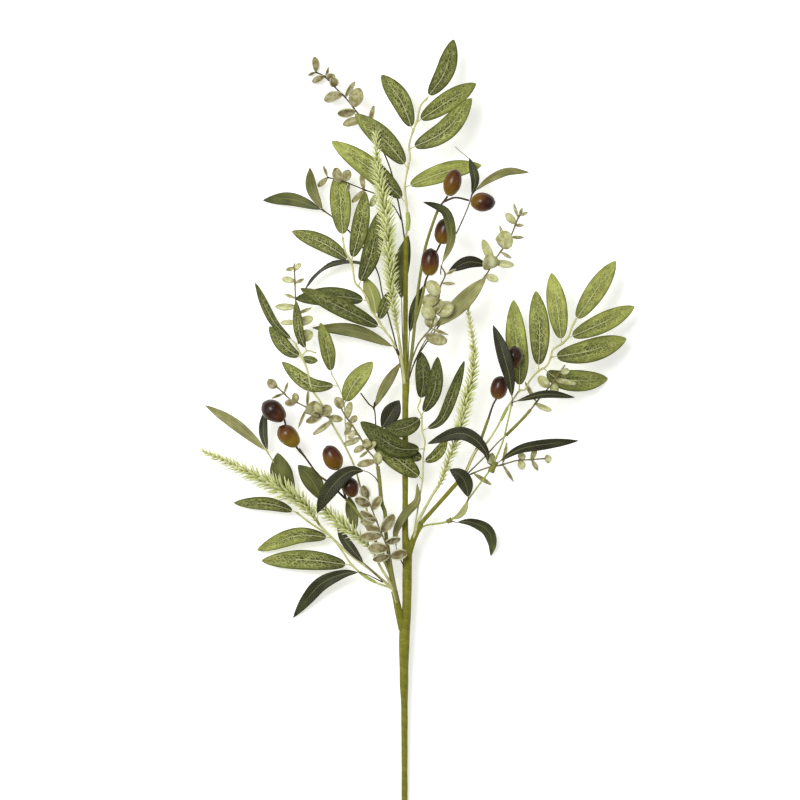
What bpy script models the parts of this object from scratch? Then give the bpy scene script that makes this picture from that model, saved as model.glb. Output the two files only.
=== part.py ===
"""Artificial olive spray: taped wire stem, olives, cloth leaves, eucalyptus sprigs and plumes.

The spray lies on its back on z = 0. The cut end of the stem points to -Y, the tip to +Y.
All driving sizes are in millimetres; the mesh is written in metres.
"""
import math

import bmesh
import bpy
from mathutils import Matrix, Vector
from mathutils.geometry import intersect_point_line

MM = 0.001

# ---- driving dimensions (mm) ----------------------------------------------------------------
TRUNK_SIDES = 10
TWIG_SIDES = 5
BLADE_THICKNESS = 1.0
BLADE_FOLD = 0.10
SMALL_BLADE_THICKNESS = 0.9
STALK_SHARE = 0.12
STALK_RADIUS = 0.55
STALK_TAPER = 0.6
STALK_SIDES = 4
END_INSET = 0.04
OLIVE_RINGS = 8
OLIVE_SIDES = 10
PLUME_SIDES = 8
WIRE = 0.7
TWIG = 0.9
TAPED = 1.5

# share along the blade, and fullness (half width over widest half width) at that share
VEINED_OUTLINE = ((0.0, 0.0), (0.08, 0.50), (0.24, 0.86), (0.45, 1.0), (0.68, 0.92), (0.88, 0.58),
                  (1.0, 0.0))
OLIVE_LEAF_OUTLINE = ((0.0, 0.0), (0.10, 0.34), (0.28, 0.76), (0.50, 1.0), (0.72, 0.86), (0.90, 0.44),
                      (1.0, 0.0))
ROUND_OUTLINE = ((0.0, 0.0), (0.18, 0.72), (0.52, 1.0), (0.84, 0.74), (1.0, 0.0))

# colours are linear RGB
COLOURS = {
    "stem_tape": (0.245, 0.245, 0.038),
    "brown_twig": (0.075, 0.058, 0.035),
    "veined_leaf": (0.20, 0.26, 0.062),
    "dark_leaf": (0.055, 0.050, 0.026),
    "eucalyptus": (0.46, 0.47, 0.27),
    "plume": (0.55, 0.62, 0.26),
    "olive_skin": (0.075, 0.020, 0.014),
}
ROUGHNESS = {"olive_skin": 0.22, "dark_leaf": 0.55}
DEFAULT_ROUGHNESS = 0.7

# ---- taped stem: routes of (x, y, z) with a radius at each point ------------------------------
TRUNK = (
    (-1, 0, 3.25, 3.4), (-1, 60, 8, 3.5), (-1, 108, 11, 3.6), (-1, 140, 13.5, 4.3),
    (-0.5, 176, 16.5, 4.4),
    (1.5, 200, 18, 3.7), (2, 236, 21, 4.1), (2, 256, 22.5, 4.2), (0.3, 268, 23.5, 2.7),
    (0.2, 300, 26, 2.6),
    (0.3, 380, 31.5, 2.7), (0.8, 400, 33, 3.2), (0.8, 415, 34, 3.2), (0.5, 424, 35, 1.9),
    (0.5, 470, 38, 1.7),
    (1, 536, 41, 1.6),
)
LEFT_FORK = ((-2, 182, 17.5, 2.4), (-5, 198, 19, 2.6), (-9, 217, 21, 2.6))
RIGHT_FORK = ((3, 248, 22.5, 2.8), (7, 262, 24.5, 2.8), (14, 278, 27, 2.8))
RIGHT_FRUIT_WIRE = ((14, 278, 27, 1.9), (30, 296, 31, 1.9), (45, 313, 34.5, 1.9), (53.5, 322.5, 37, 1.9))

# ---- leaf sprigs: twigs are (radius, route); leaves are (width, roll degrees, route) ----------
SPRIGS = {
    "top_leaf_sprig": {
        "material": "veined_leaf", "outline": VEINED_OUTLINE,
        "twigs": (
            (TWIG, ((1, 537.5, 41), (3, 550, 43), (1.5, 564, 44), (0, 582, 44), (3, 600, 44),
                    (4.5, 607, 44),
                    (4, 620, 43), (9, 636, 42), (11, 641, 42), (14, 654, 41), (20, 661, 40))),
        ),
        "leaves": (
            (16, 0, ((20, 661, 40), (30, 688, 38), (43, 714, 24))),
            (16, 6, ((11, 641, 42), (36, 662, 42), (63, 676, 30))),
            (17, -6, ((4, 615, 44), (33, 634, 47), (58, 661, 38))),
            (17, 0, ((7, 633, 42), (-2, 662, 40), (-21, 682, 24))),
            (18, 0, ((3, 600, 44), (-18, 624, 41), (-44, 646, 38))),
            (19, 8, ((-1, 578, 44), (-12, 590, 41), (-36, 606, 37), (-65, 623, 26))),
            (16, 4, ((0, 583, 44), (20, 590, 43), (44, 597, 40), (68, 601, 34))),
        ),
    },
    "upper_left_leaf_sprig": {
        "material": "veined_leaf", "outline": VEINED_OUTLINE,
        "twigs": (
            (TWIG, ((-4.5, 428, 34), (-12, 444, 35), (-18, 452, 36), (-25, 463, 36), (-31, 471, 36),
                    (-34, 481, 36),
                    (-40, 490, 36), (-45, 496, 36), (-48, 513, 36), (-54, 524, 36), (-56, 536, 35))),
        ),
        "leaves": (
            (18, 0, ((-56, 536, 35), (-59, 566, 35), (-61, 598, 28))),
            (14, 0, ((-48, 515, 36), (-44, 542, 38), (-37, 578, 36))),
            (15, 0, ((-42, 494, 36), (-35, 520, 37), (-26, 560, 38))),
            (15, 0, ((-50, 513, 36), (-72, 530, 34), (-102, 542, 22))),
            (16, -10, ((-20, 453, 36), (-56, 472, 40), (-94, 490, 35))),
            (17, 10, ((-34, 479, 36), (-62, 483, 33), (-99, 481, 28))),
            (14, 190, ((-26, 465, 36), (-28, 480, 34), (-36, 500, 30))),
        ),
    },
    "low_left_leaf_sprig": {
        "material": "veined_leaf", "outline": VEINED_OUTLINE,
        "twigs": (
            (TWIG, ((-12.5, 219.5, 17), (-27, 225, 16.5), (-41, 234, 17), (-50, 243, 17),
                    (-58, 255, 16.5),
                    (-66, 265, 16), (-76, 272, 16), (-88, 280, 15), (-98, 288, 14))),
        ),
        "leaves": (
            (11, 0, ((-98, 288, 14), (-122, 297, 14), (-154, 298, 8))),
            (14, 0, ((-66, 265, 16), (-98, 269, 16), (-133, 255, 6))),
            (17, 0, ((-49, 242, 17), (-88, 247, 15), (-128, 246, 5))),
        ),
    },
    "high_left_leaf_sprig": {
        "material": "veined_leaf", "outline": VEINED_OUTLINE,
        "twigs": (
            (TWIG, ((-9.5, 221.5, 17.2), (-26, 262, 20), (-38, 303, 24), (-45, 328, 26),
                    (-53, 346, 29), (-62, 362, 32),
                    (-68, 373, 34), (-76, 388, 35), (-84, 400, 36), (-88, 417, 36), (-93, 429, 36),
                    (-99, 441, 35))),
            (STALK_RADIUS, ((-53, 346, 29), (-54, 375, 33), (-56, 392, 35), (-61, 404, 36),
                            (-66, 413, 36))),
            (STALK_RADIUS, ((-93, 429, 36), (-88, 434, 37), (-80, 432, 38))),
        ),
        "leaves": (
            (8, 0, ((-99, 441, 35), (-119, 461, 27), (-136, 496, 0.6))),
            (13, 0, ((-93, 428, 36), (-108, 435, 32), (-124, 456, 24))),
            (9, 0, ((-89, 435, 37), (-95, 450, 40), (-98, 479, 39))),
            (15, 30, ((-66, 413, 36), (-70, 435, 38), (-76, 459, 38))),
            (13, 0, ((-62, 402, 36), (-86, 404, 36), (-111, 424, 26))),
            (17, 0, ((-55, 386, 34), (-46, 404, 40), (-29, 424, 40))),
        ),
    },
    "centre_leaf_sprig": {
        "material": "veined_leaf", "outline": VEINED_OUTLINE,
        "twigs": (
            (WIRE, ((9.5, 279, 24.5), (13, 300, 28), (16, 320, 33), (16.5, 340, 37), (18, 352, 38),
                    (15.5, 362, 38),
                    (15, 375, 37), (11.5, 382, 36), (14, 389, 36))),
        ),
        "leaves": (
            (13, 0, ((14, 389, 36), (15, 408, 38), (12, 430, 35))),
            (12, 0, ((15, 376, 37), (27, 396, 40), (30, 427, 38))),
            (9, 0, ((15, 362, 38), (33, 372, 40), (45, 398, 36), (55, 424, 31))),
            (14, 10, ((15, 374, 37), (0, 366, 40), (-20, 361, 39))),
            (19, -8, ((17.5, 346, 38), (-8, 347, 43), (-40, 370, 42))),
            (19, 0, ((16, 319, 33), (-4, 334, 38), (-31, 356, 37))),
            (10, 0, ((16, 334, 36), (28, 340, 32), (38, 354, 27))),
        ),
    },
    "right_leaf_sprig": {
        "material": "veined_leaf", "outline": VEINED_OUTLINE,
        "twigs": (
            (TWIG, ((56, 327, 42), (63, 343, 43.5), (73, 351, 44), (82, 364, 44), (92, 383, 43),
                    (97, 390, 43),
                    (103, 398, 43), (108, 399, 43), (112, 407, 43), (120, 416, 43), (127, 420, 43),
                    (131, 428, 42),
                    (133, 435, 42), (142, 441, 42), (147, 447, 41), (150, 455, 41), (154, 463, 40))),
        ),
        "leaves": (
            (17, 0, ((154, 463, 40), (168, 490, 38), (189, 514, 26))),
            (16, 0, ((147, 448, 41), (176, 461, 36), (206, 475, 22))),
            (18, 0, ((132, 430, 42), (164, 438, 38), (199, 447, 20))),
            (18, 0, ((125, 418, 43), (138, 409, 33), (160, 407, 19), (184, 409, 0.6))),
            (17, 0, ((142, 441, 42), (141, 472, 42), (133, 503, 32))),
            (18, 0, ((120, 417, 43), (120, 450, 40), (117, 487, 30))),
            (19, 0, ((102, 398, 43), (103, 420, 35), (100, 446, 30), (98, 480, 24))),
        ),
    },
    "top_dark_leaf_pair": {
        "material": "dark_leaf", "outline": OLIVE_LEAF_OUTLINE,
        "twigs": (
            (WIRE, ((-6, 431, 31), (-12, 455, 30), (-20, 484, 28), (-26, 508, 27), (-45, 536, 27),
                    (-62, 552, 27),
                    (-74, 561, 26))),
        ),
        "leaves": (
            (12, 0, ((-74, 561, 26), (-102, 571, 19), (-129, 571, 0.6))),
            (10, 0, ((-74, 561, 26), (-84, 580, 24), (-86, 600, 14))),
            (9, 80, ((-27, 510, 27), (-48, 514, 22), (-66, 512, 19), (-81, 502, 15), (-91, 489, 11))),
        ),
    },
}

# ---- fruit stems, fruit, and single dark leaves ------------------------------------------------
FRUIT_STEMS = {
    "top_fruit_stem": (
        (TAPED, ((5.5, 427, 36), (9, 460, 40), (12, 490, 42), (18, 525, 43), (26, 551, 46),
                 (31, 563, 50))),
        (TWIG, ((31, 563, 50), (35, 568, 52), (38.2, 572.2, 54))),
        (TWIG, ((34, 567, 51.6), (45, 571, 53), (57.4, 568.5, 53))),
        (TAPED, ((9, 460, 40), (14.5, 478, 45), (17.5, 492, 48))),
        (TWIG, ((17.5, 492, 48), (19.2, 499.6, 50.5))),
    ),
    "left_fruit_stem": (
        (TAPED, ((-11.5, 222, 22.5), (-17, 245, 24.5), (-33, 273, 26), (-44, 290, 26), (-53, 300, 26))),
        (TWIG, ((-53, 300, 26), (-70, 316, 27), (-78, 322, 28), (-87, 334, 31), (-95.3, 346, 34))),
        (TWIG, ((-53, 300, 26), (-57, 313, 28), (-59.5, 325.6, 31.5))),
    ),
    "right_fruit_stem": (
        (TAPED, ((54.8, 325, 38.5), (60, 337, 38.5), (67, 351, 39), (75, 373, 41.5))),
        (TWIG, ((75, 373, 41.5), (79, 385, 43), (80.8, 389.6, 44))),
    ),
}

# centre, length, thickness, heading in the plane (degrees from +Y, anticlockwise), tilt up
OLIVES = {
    "olive_top_1": ((43, 586, 56), 24, 15.5, -8, 8),
    "olive_top_2": ((69.5, 567, 53), 22.5, 17, -92, 0),
    "olive_top_3": ((35, 540.5, 56), 24, 17.5, -14, 4),
    "olive_top_4": ((22.5, 513, 53), 25, 17, -4, 4),
    "olive_left_1": ((-118, 379.5, 34), 25, 18.5, 52, 0),
    "olive_left_2": ((-104.5, 357, 36), 24, 17.5, 44, 4),
    "olive_left_3": ((-65, 337.5, 36), 24, 17.5, 26, 8),
    "olive_left_4": ((-49, 311, 37), 19, 15, 20, 8),
    "olive_right_1": ((84.5, 400.5, 44), 21.5, 16, -12, 4),
    "olive_right_2": ((98, 428.5, 44), 20, 14.5, -4, 0),
}

DARK_LEAVES = {
    "olive_leaf_top_2": (7.5, 0, ((63, 577.5, 40), (75, 590, 42), (92, 598, 38), (112, 596, 28))),
    "olive_leaf_top_3": (9.5, 20, ((33, 511, 61), (43, 534, 67), (40, 557, 68), (30, 564, 64),
                                   (16, 567, 56))),
    "olive_leaf_top_4": (10, 0, ((67, 513.5, 42), (56, 515, 45), (39, 506, 47))),
    "olive_leaf_top_5": (15, 0, ((27, 455, 44), (48, 474, 46), (73, 500, 42))),
    "olive_leaf_top_6": (9, 0, ((4, 450, 31), (9, 472, 32), (17, 493, 34))),
    "olive_leaf_top_7": (12, 0, ((-10, 437.5, 25.5), (-45, 452, 24), (-84, 455, 18))),
    "olive_leaf_top_8": (14, 0, ((-3, 470, 31), (-3, 500, 32), (3, 535, 34))),
    "olive_leaf_left_3": (15, 0, ((-98, 309, 20), (-107, 322, 22), (-116, 342, 22))),
    "olive_leaf_left_4": (14, 0, ((-76, 300, 20), (-84, 316, 22), (-97, 330, 22))),
    "olive_leaf_left_5": (14, 0, ((-27, 322, 41), (-38, 328, 45), (-55, 322, 49), (-68, 308, 48),
                                  (-79, 289, 43))),
    "olive_leaf_left_6": (9, 0, ((-37, 242.5, 29), (-47, 254, 27.6), (-56, 266, 24), (-61, 278, 21))),
    "olive_leaf_left_7": (11, 0, ((-44, 272, 22.2), (-48, 288, 21.5), (-51, 303, 19))),
    "olive_leaf_left_8": (13, 0, ((-44, 234.5, 19.3), (-66, 235, 18), (-84, 222, 12), (-100, 196, 0.6))),
    "olive_leaf_centre_1": (8, 0, ((-8, 257, 33), (-8, 272, 33), (1, 288, 33), (11, 299, 35),
                                   (11, 315, 33))),
    "olive_leaf_centre_2": (13, 0, ((-21, 364, 34.5), (-15, 376, 35), (-6, 389, 35))),
}

WIRED_LEAVES = {
    "olive_leaf_pair_top": (
        ((WIRE, ((46, 539, 41), (52, 552, 40), (57, 564, 40), (60, 574, 40))),),
        ((8, 0, ((60, 574, 40), (62, 590, 36), (57, 606, 32), (45, 618, 28))),),
    ),
    "olive_leaf_pair_left": (
        ((WIRE, ((-120, 336, 27), (-124, 343, 28))),),
        ((13, 0, ((-124, 343, 28), (-152, 361, 24), (-181, 385, 12))),
         (8, 0, ((-124, 343, 28), (-128, 362, 23), (-126, 382, 20)))),
    ),
    "centre_left_leaf": (
        ((WIRE, ((-26, 347, 30), (-27, 371, 30), (-29, 382, 31), (-33, 386, 32), (-40, 396, 33))),
         (WIRE, ((-29, 382, 31), (-28, 388, 33)))),
        ((8, 0, ((-29, 382, 31), (-20, 404, 29), (-5, 422, 26))),),
    ),
}

RIGHT_LEAF_WIRE = (
    (WIRE, ((18.5, 276.5, 27), (38, 280, 28), (50, 289, 30), (57, 300, 33), (67, 314, 39),
            (77, 328, 46), (84, 343, 48),
            (89, 357, 49), (96, 388, 51))),
    (2.2, ((38, 279.8, 28), (42, 281.8, 28.7))),
    (3.4, ((77.5, 326, 45.5), (81, 333, 46.6))),
)
RIGHT_WIRE_LEAVES = ((6, 0, ((42, 282, 29), (51, 287.5, 32), (57, 299, 34)),),)
RIGHT_LEAVES = {
    "olive_leaf_right_1": (12, 0, ((95, 391.5, 52.5), (91, 412, 56), (85, 436, 56), (79, 457, 50))),
    "olive_leaf_right_2": (7, 0, ((99, 388.5, 51), (126, 395, 48), (153, 392, 38))),
    "olive_leaf_right_3": (8, 0, ((84, 335, 46), (102, 347, 44), (124, 351, 38), (157, 353, 24))),
    "olive_leaf_right_4": (11, 0, ((74.5, 333, 49), (72, 346, 52), (61, 359, 54), (45, 361, 53),
                                   (20, 350, 48))),
    "olive_leaf_right_5": (13, 0, ((57, 302, 36), (57, 313, 41), (52, 322, 44), (41, 328, 43))),
    "olive_leaf_right_6": (10, 0, ((46, 280, 29), (60, 281, 29), (75, 275, 21), (81, 262, 11),
                                   (78, 248, 0.6))),
}

# ---- eucalyptus sprigs: (twig radius, twig routes), leaves are (width, roll, base, tip) --------
EUCALYPTUS = {
    "eucalyptus_top_1": (
        ((WIRE, ((-1, 539, 34), (-3, 552, 34), (-7, 572, 33), (-14, 600, 33), (-28, 630, 32),
                 (-44, 650, 29),
                 (-54, 663, 24), (-62, 671, 19), (-72, 682, 12), (-81, 687, 6))),),
        ((7, 0, (-81, 687, 6), (-81, 698, 0.6)), (3, 0, (-81, 687, 6), (-88, 684, 3)),
         (7, 0, (-73, 682, 12), (-84, 678, 6)), (3, 0, (-72, 682, 12), (-69, 691, 14)),
         (10, 0, (-69, 679, 14), (-64, 684, 18)), (9, 0, (-63, 672, 18), (-66, 681, 22)),
         (11, 0, (-56, 665, 23), (-73, 661, 14)), (5, 0, (-54, 663, 24), (-45, 677, 26)),
         (12, 0, (-52, 661, 25), (-38, 664, 28)), (9, 0, (-44, 650, 29), (-61, 648, 26)),
         (8, 0, (-38, 643, 31), (-56, 638, 25)), (5, 0, (-32, 636, 31), (-28, 655, 30))),
    ),
    "eucalyptus_top_2": (
        ((WIRE, ((-12, 566, 29.5), (-26, 575, 29.5), (-36, 579, 28), (-48, 584, 26), (-58, 588, 22),
                 (-70, 591, 14))),),
        ((3, 0, (-70, 591, 14), (-74, 602, 12)), (5, 0, (-70, 591, 14), (-79, 583, 8)),
         (8, 0, (-58, 588, 22), (-64, 599, 22)), (8, 0, (-55, 587, 23), (-49, 597, 22)),
         (4, 0, (-50, 585, 25), (-53, 577, 24)), (5, 0, (-37, 579, 28), (-39, 594, 26)),
         (5, 0, (-36, 579, 28), (-48, 568, 24)), (6, 0, (-26, 575, 29.5), (-31, 564, 28))),
    ),
    "eucalyptus_top_3": (
        ((WIRE, ((12, 440, 46), (23, 454, 50), (26, 465, 52), (30, 480, 53), (32, 492, 54), (36, 502, 54),
                 (32, 510, 54))),),
        ((15, 0, (27, 468, 52), (43, 476, 54)), (12, 0, (31, 483, 53), (20, 496, 54)),
         (12, 0, (26, 462, 52), (16, 474, 54)), (3, 0, (23, 454, 50), (39, 448, 48)),
         (11, 0, (18, 448, 48), (38, 442, 46)), (3, 0, (33, 494, 54), (45, 494, 54)),
         (3, 0, (36, 502, 54), (46, 507, 54))),
    ),
    "eucalyptus_top_4": (
        ((WIRE, ((17, 438, 39), (40, 468, 38), (62, 492, 36), (72, 501, 36), (81, 516, 38), (86, 523, 38),
                 (93, 533, 36), (97, 541, 34), (100, 549, 31), (103, 556, 28))),),
        ((3, 0, (102, 554, 29), (98, 567, 28)), (3, 0, (103, 556, 28), (106, 563, 25)),
         (3, 0, (103, 556, 28), (111, 559, 22)), (7, 0, (100, 548, 31), (91, 558, 31)),
         (3, 0, (99, 547, 32), (107, 547, 30)), (17, 0, (91, 524, 38), (90, 542, 42)),
         (3, 0, (90, 534, 38), (85, 547, 36)), (3, 0, (96, 536, 36), (107, 536, 34)),
         (3, 0, (86, 523, 38), (96, 517, 38)), (7, 0, (81, 514, 38), (98, 511, 36)),
         (8, 0, (79, 513, 38), (70, 534, 40)), (16, 0, (77, 506, 38), (74, 520, 43)),
         (7, 0, (73, 501, 36), (84, 497, 38))),
    ),
    "eucalyptus_left_1": (
        ((WIRE, ((-96, 440, 31), (-98, 465, 31), (-99, 490, 28), (-100, 513, 22))),),
        ((4, 0, (-100, 509, 23), (-108, 507, 20)), (5, 0, (-100, 506, 24), (-94, 513, 22)),
         (6, 0, (-99, 497, 26), (-111, 499, 22)), (3, 0, (-99, 495, 27), (-91, 499, 26)),
         (3, 0, (-99, 482, 29), (-109, 485, 28)), (7, 0, (-98, 474, 30), (-117, 474, 26)),
         (3, 0, (-98, 467, 31), (-84, 473, 27)), (8, 0, (-97, 458, 31), (-83, 464, 28)),
         (5, 0, (-98, 460, 31), (-112, 459, 29)), (11, 0, (-97, 446, 31), (-83, 450, 29))),
    ),
    "eucalyptus_left_2": (
        ((WIRE, ((-65, 372, 40), (-72, 376, 42), (-80, 380, 43), (-88, 383, 43), (-96, 387, 43),
                 (-104, 391, 43),
                 (-109, 396, 43), (-117, 403, 42))),),
        ((9, 0, (-115, 401, 42), (-123, 408, 41)), (3, 0, (-108, 396, 43), (-120, 391, 42)),
         (3, 0, (-108, 396, 43), (-105, 406, 42)), (7, 0, (-98, 386, 43), (-99, 396, 44)),
         (7, 0, (-98, 387, 43), (-108, 387, 45)), (3, 0, (-88, 383, 43), (-96, 364, 42)),
         (3, 0, (-88, 383, 43), (-87, 399, 43)), (13, 0, (-85, 374, 43), (-79, 388, 47)),
         (11, 0, (-74, 374, 42), (-68, 385, 43)), (7, 0, (-68, 375, 42), (-56, 372, 42))),
    ),
    "eucalyptus_left_3": (
        ((TAPED, ((-10, 223.5, 26), (-13, 240, 28), (-17, 268, 32), (-18, 288, 36), (-21, 298, 38),
                  (-23, 318, 40))),
         (WIRE, ((-23, 318, 40), (-25, 332, 42), (-34, 345, 43), (-39, 354, 43), (-48, 368, 43),
                 (-54, 376, 43),
                 (-58, 384, 43)))),
        ((9, 0, (-57, 382, 43), (-62, 392, 43)), (6, 0, (-50, 370, 43), (-43, 375, 42)),
         (6, 0, (-47, 366, 43), (-54, 368, 45)), (8, 0, (-39, 352, 43), (-30, 350, 46)),
         (8, 0, (-25, 331, 42), (-24, 343, 43)), (6, 0, (-41, 355, 43), (-55, 350, 42)),
         (5, 0, (-49, 368, 43), (-54, 358, 42)), (7, 0, (-28, 334, 42), (-43, 331, 41)),
         (3, 0, (-33, 344, 43), (-41, 338, 44)), (3, 0, (-41, 358, 43), (-50, 362, 41))),
    ),
    "eucalyptus_left_4": (
        ((WIRE, ((-8.5, 222, 31), (-13, 246, 38), (-17, 260, 42), (-22, 272, 44), (-29, 290, 45),
                 (-34, 303, 45))),),
        ((8, 0, (-33, 302, 45), (-37, 312, 46)), (8, 0, (-31, 295, 45), (-44, 300, 45)),
         (7, 0, (-29, 291, 45), (-22, 301, 46)), (9, 0, (-22, 272, 44), (-11, 286, 45)),
         (7, 0, (-21, 268, 43.5), (-39, 267, 43)), (9, 0, (-15, 256, 41), (-31, 255, 41)),
         (5, 0, (-15, 250, 39), (-27, 249, 38)), (9, 0, (-13, 249, 38), (1, 252, 36)),
         (6, 0, (-25, 281, 44.5), (-39, 290, 45))),
    ),
    "eucalyptus_right_1": (
        ((WIRE, ((58.5, 325.5, 37.5), (73, 340, 40), (84, 352, 41), (91, 358, 41))),
         (TAPED, ((91, 358, 41), (105, 372, 41), (113, 381, 40))),
         (WIRE, ((113, 381, 40), (120, 390, 39), (131, 403, 38), (138, 413, 37), (144, 421, 36)))),
        ((9, 0, (129, 401, 38), (120, 411, 39)), (8, 0, (133, 406, 38), (136, 396, 34)),
         (5, 0, (134, 408, 37.5), (154, 404, 34)), (6, 0, (139, 415, 37), (148, 416, 34)),
         (4, 0, (118, 388, 37), (108, 406, 35)), (5, 0, (117, 386, 38), (132, 380, 36))),
    ),
    "eucalyptus_right_2": (
        ((WIRE, ((57, 322, 34.5), (75, 329, 35), (86, 331, 35), (100, 335, 34), (113, 336, 32),
                 (128, 337, 30))),),
        ((8, 0, (126, 337, 30), (132, 337, 32)), (5, 0, (114, 336, 32), (118, 346, 31)),
         (4, 0, (114, 336, 32), (120, 326, 29)), (7, 0, (104, 335, 33.5), (106, 327, 36)),
         (3, 0, (88, 331, 35), (98, 316, 31)), (3, 0, (88, 331, 35), (92, 352, 31)),
         (4, 0, (62, 324, 34.5), (78, 313, 33)), (7, 0, (79, 330, 35), (78, 342, 33)),
         (7, 0, (104, 335, 33.5), (106, 342, 32))),
    ),
}

# ---- plumes: route with an envelope radius at each point ---------------------------------------
PLUMES = {
    "plume_top": (
        (-3, 427.5, 39, 1.6), (-6, 448, 47, 2.2), (-10, 466, 51, 5.5), (-14, 500, 54, 7.5),
        (-16, 537, 55, 7.5),
        (-19, 560, 54, 7.0), (-22, 578, 53, 6.0), (-26, 606, 50, 4.6), (-27, 631, 48, 3.2),
    ),
    "plume_left_long": (
        (-13.2, 220.8, 20, 0.9), (-33, 238, 22.5, 1.4), (-55, 255, 25, 1.4), (-77, 277, 28, 1.6),
        (-84, 288, 31, 3.0),
        (-93, 298, 34, 7.5), (-107, 307, 36, 8.5), (-122, 315, 35, 7.5), (-137, 323, 33, 6.0),
        (-150, 329, 30, 5.0),
        (-167, 337, 26, 4.0), (-181, 343, 22, 2.6),
    ),
    "plume_left_short": (
        (-14, 226, 26.5, 0.9), (-22, 237, 29, 1.0), (-29, 249, 31.5, 2.4), (-36, 257, 33, 4.0),
        (-48, 267, 34, 5.5),
        (-60, 277, 34.5, 6.0), (-70, 286, 35, 4.5), (-76, 291, 35, 2.6),
    ),
    "plume_right": (
        (12.2, 280.8, 29.2, 1.5), (24, 303, 34, 1.7), (31, 316, 37, 4.0), (37, 337, 40, 5.5),
        (43, 352, 41, 6.0),
        (50, 370, 42, 7.0), (55, 392, 42, 7.0), (60, 410, 42, 6.5), (62, 427, 41, 5.5),
        (61, 443, 40, 4.5),
        (57, 469, 37, 2.5),
    ),
}


def clear_scene():
    """Remove every object and mesh left in the file."""
    for obj in list(bpy.data.objects):
        bpy.data.objects.remove(obj, do_unlink=True)


def make_material(name):
    """One Principled material for a sub-part."""
    material = bpy.data.materials.new(name)
    material.use_nodes = True
    shader = material.node_tree.nodes["Principled BSDF"]
    shader.inputs["Base Color"].default_value = (*COLOURS[name], 1.0)
    shader.inputs["Roughness"].default_value = ROUGHNESS.get(name, DEFAULT_ROUGHNESS)
    shader.inputs["Metallic"].default_value = 0.0
    return material


def point_at(route, share):
    """Point on a smooth curve through the route, share running from 0 to 1 by chord length."""
    chords = [(b - a).length for a, b in zip(route, route[1:])]
    target = share * sum(chords)
    index = 0
    while index < len(chords) - 1 and target > chords[index]:
        target -= chords[index]
        index += 1
    t = min(target / chords[index], 1.0)
    p1, p2 = route[index], route[index + 1]
    p0 = route[index - 1] if index > 0 else p1 + (p1 - p2)
    p3 = route[index + 2] if index + 2 < len(route) else p2 + (p2 - p1)
    bend = (2 * p0 - 5 * p1 + 4 * p2 - p3) * t * t
    ease = (3 * p1 - p0 - 3 * p2 + p3) * t * t * t
    return 0.5 * (2 * p1 + (p2 - p0) * t + bend + ease)


def close_rings(bm, rings):
    """Skin a run of vertex rings; a ring of one vertex closes to a point."""
    for first, second in zip(rings, rings[1:]):
        count = max(len(first), len(second))
        for i in range(count):
            j = (i + 1) % count
            near = (first[i % len(first)], first[j % len(first)])
            far = (second[j % len(second)], second[i % len(second)])
            skin_cell(bm, near, far, i % 2 == 0)
    for ring in (rings[0], rings[-1]):
        if len(ring) > 2:
            bm.faces.new(ring)


def skin_cell(bm, near, far, forward):
    """One cell of skin; both sides of a thin blade are cut along matching diagonals."""
    if near[0] is near[1] or far[0] is far[1]:
        bm.faces.new(list(dict.fromkeys((*near, *far))))
    elif forward:
        bm.faces.new((near[0], near[1], far[0]))
        bm.faces.new((near[0], far[0], far[1]))
    else:
        bm.faces.new((near[0], near[1], far[1]))
        bm.faces.new((near[1], far[0], far[1]))


def finish_mesh(bm, name, base):
    """Turn the bmesh outward, move it so the base is its origin, and return an object."""
    bmesh.ops.recalc_face_normals(bm, faces=bm.faces)
    bmesh.ops.translate(bm, verts=bm.verts, vec=-base)
    bmesh.ops.scale(bm, verts=bm.verts, vec=(MM, MM, MM))
    mesh = bpy.data.meshes.new(name)
    bm.to_mesh(mesh)
    bm.free()
    mesh.shade_smooth()
    obj = bpy.data.objects.new(name, mesh)
    obj.location = base * MM
    bpy.context.collection.objects.link(obj)
    return obj


def tube(name, route, radii, sides):
    """Closed round tube along a route, one radius for each point."""
    points = [Vector(p) for p in route]
    bm = bmesh.new()
    rings = []
    across = Vector((0, 0, 1)).cross(points[1] - points[0]).normalized()
    for i, point in enumerate(points):
        ahead = points[min(i + 1, len(points) - 1)] - points[max(i - 1, 0)]
        ahead.normalize()
        across = (across - ahead * across.dot(ahead)).normalized()
        over = ahead.cross(across)
        ring = []
        for side in range(sides):
            angle = 2 * math.pi * side / sides
            ring.append(bm.verts.new(point + radii[i] * (math.cos(angle) * across + math.sin(angle) * over)))
        rings.append(ring)
    close_rings(bm, rings)
    return finish_mesh(bm, name, points[0])


def blade(name, route, width, roll, outline, thickness):
    """Closed leaf blade: diamond sections along the route, edges lifted by the fold."""
    points = [Vector(p) for p in route]
    bm = bmesh.new()
    rings = []
    for share, fullness in outline:
        centre = point_at(points, share)
        ahead = point_at(points, min(share + 0.02, 1.0)) - point_at(points, max(share - 0.02, 0.0))
        ahead.normalize()
        side = ahead.cross(Vector((0, 0, 1))).normalized()
        side = Matrix.Rotation(math.radians(roll), 3, ahead) @ side
        over = side.cross(ahead)
        if fullness == 0.0:
            rings.append([bm.verts.new(centre)])
            continue
        half = 0.5 * width * fullness
        thick = 0.5 * thickness * (0.5 + 0.5 * fullness)
        lift = BLADE_FOLD * half
        rings.append([
            bm.verts.new(centre + side * half + over * lift),
            bm.verts.new(centre + over * thick),
            bm.verts.new(centre - side * half + over * lift),
            bm.verts.new(centre - over * thick),
        ])
    close_rings(bm, rings)
    return finish_mesh(bm, name, points[0])


def leaf_stalk(name, route):
    """Short stalk from the twig into the blade, so blade and twig are one solid."""
    points = [Vector(p) for p in route]
    inside = point_at(points, STALK_SHARE)
    return tube(name, (points[0], inside), (STALK_RADIUS, STALK_RADIUS * STALK_TAPER), STALK_SIDES)


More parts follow.
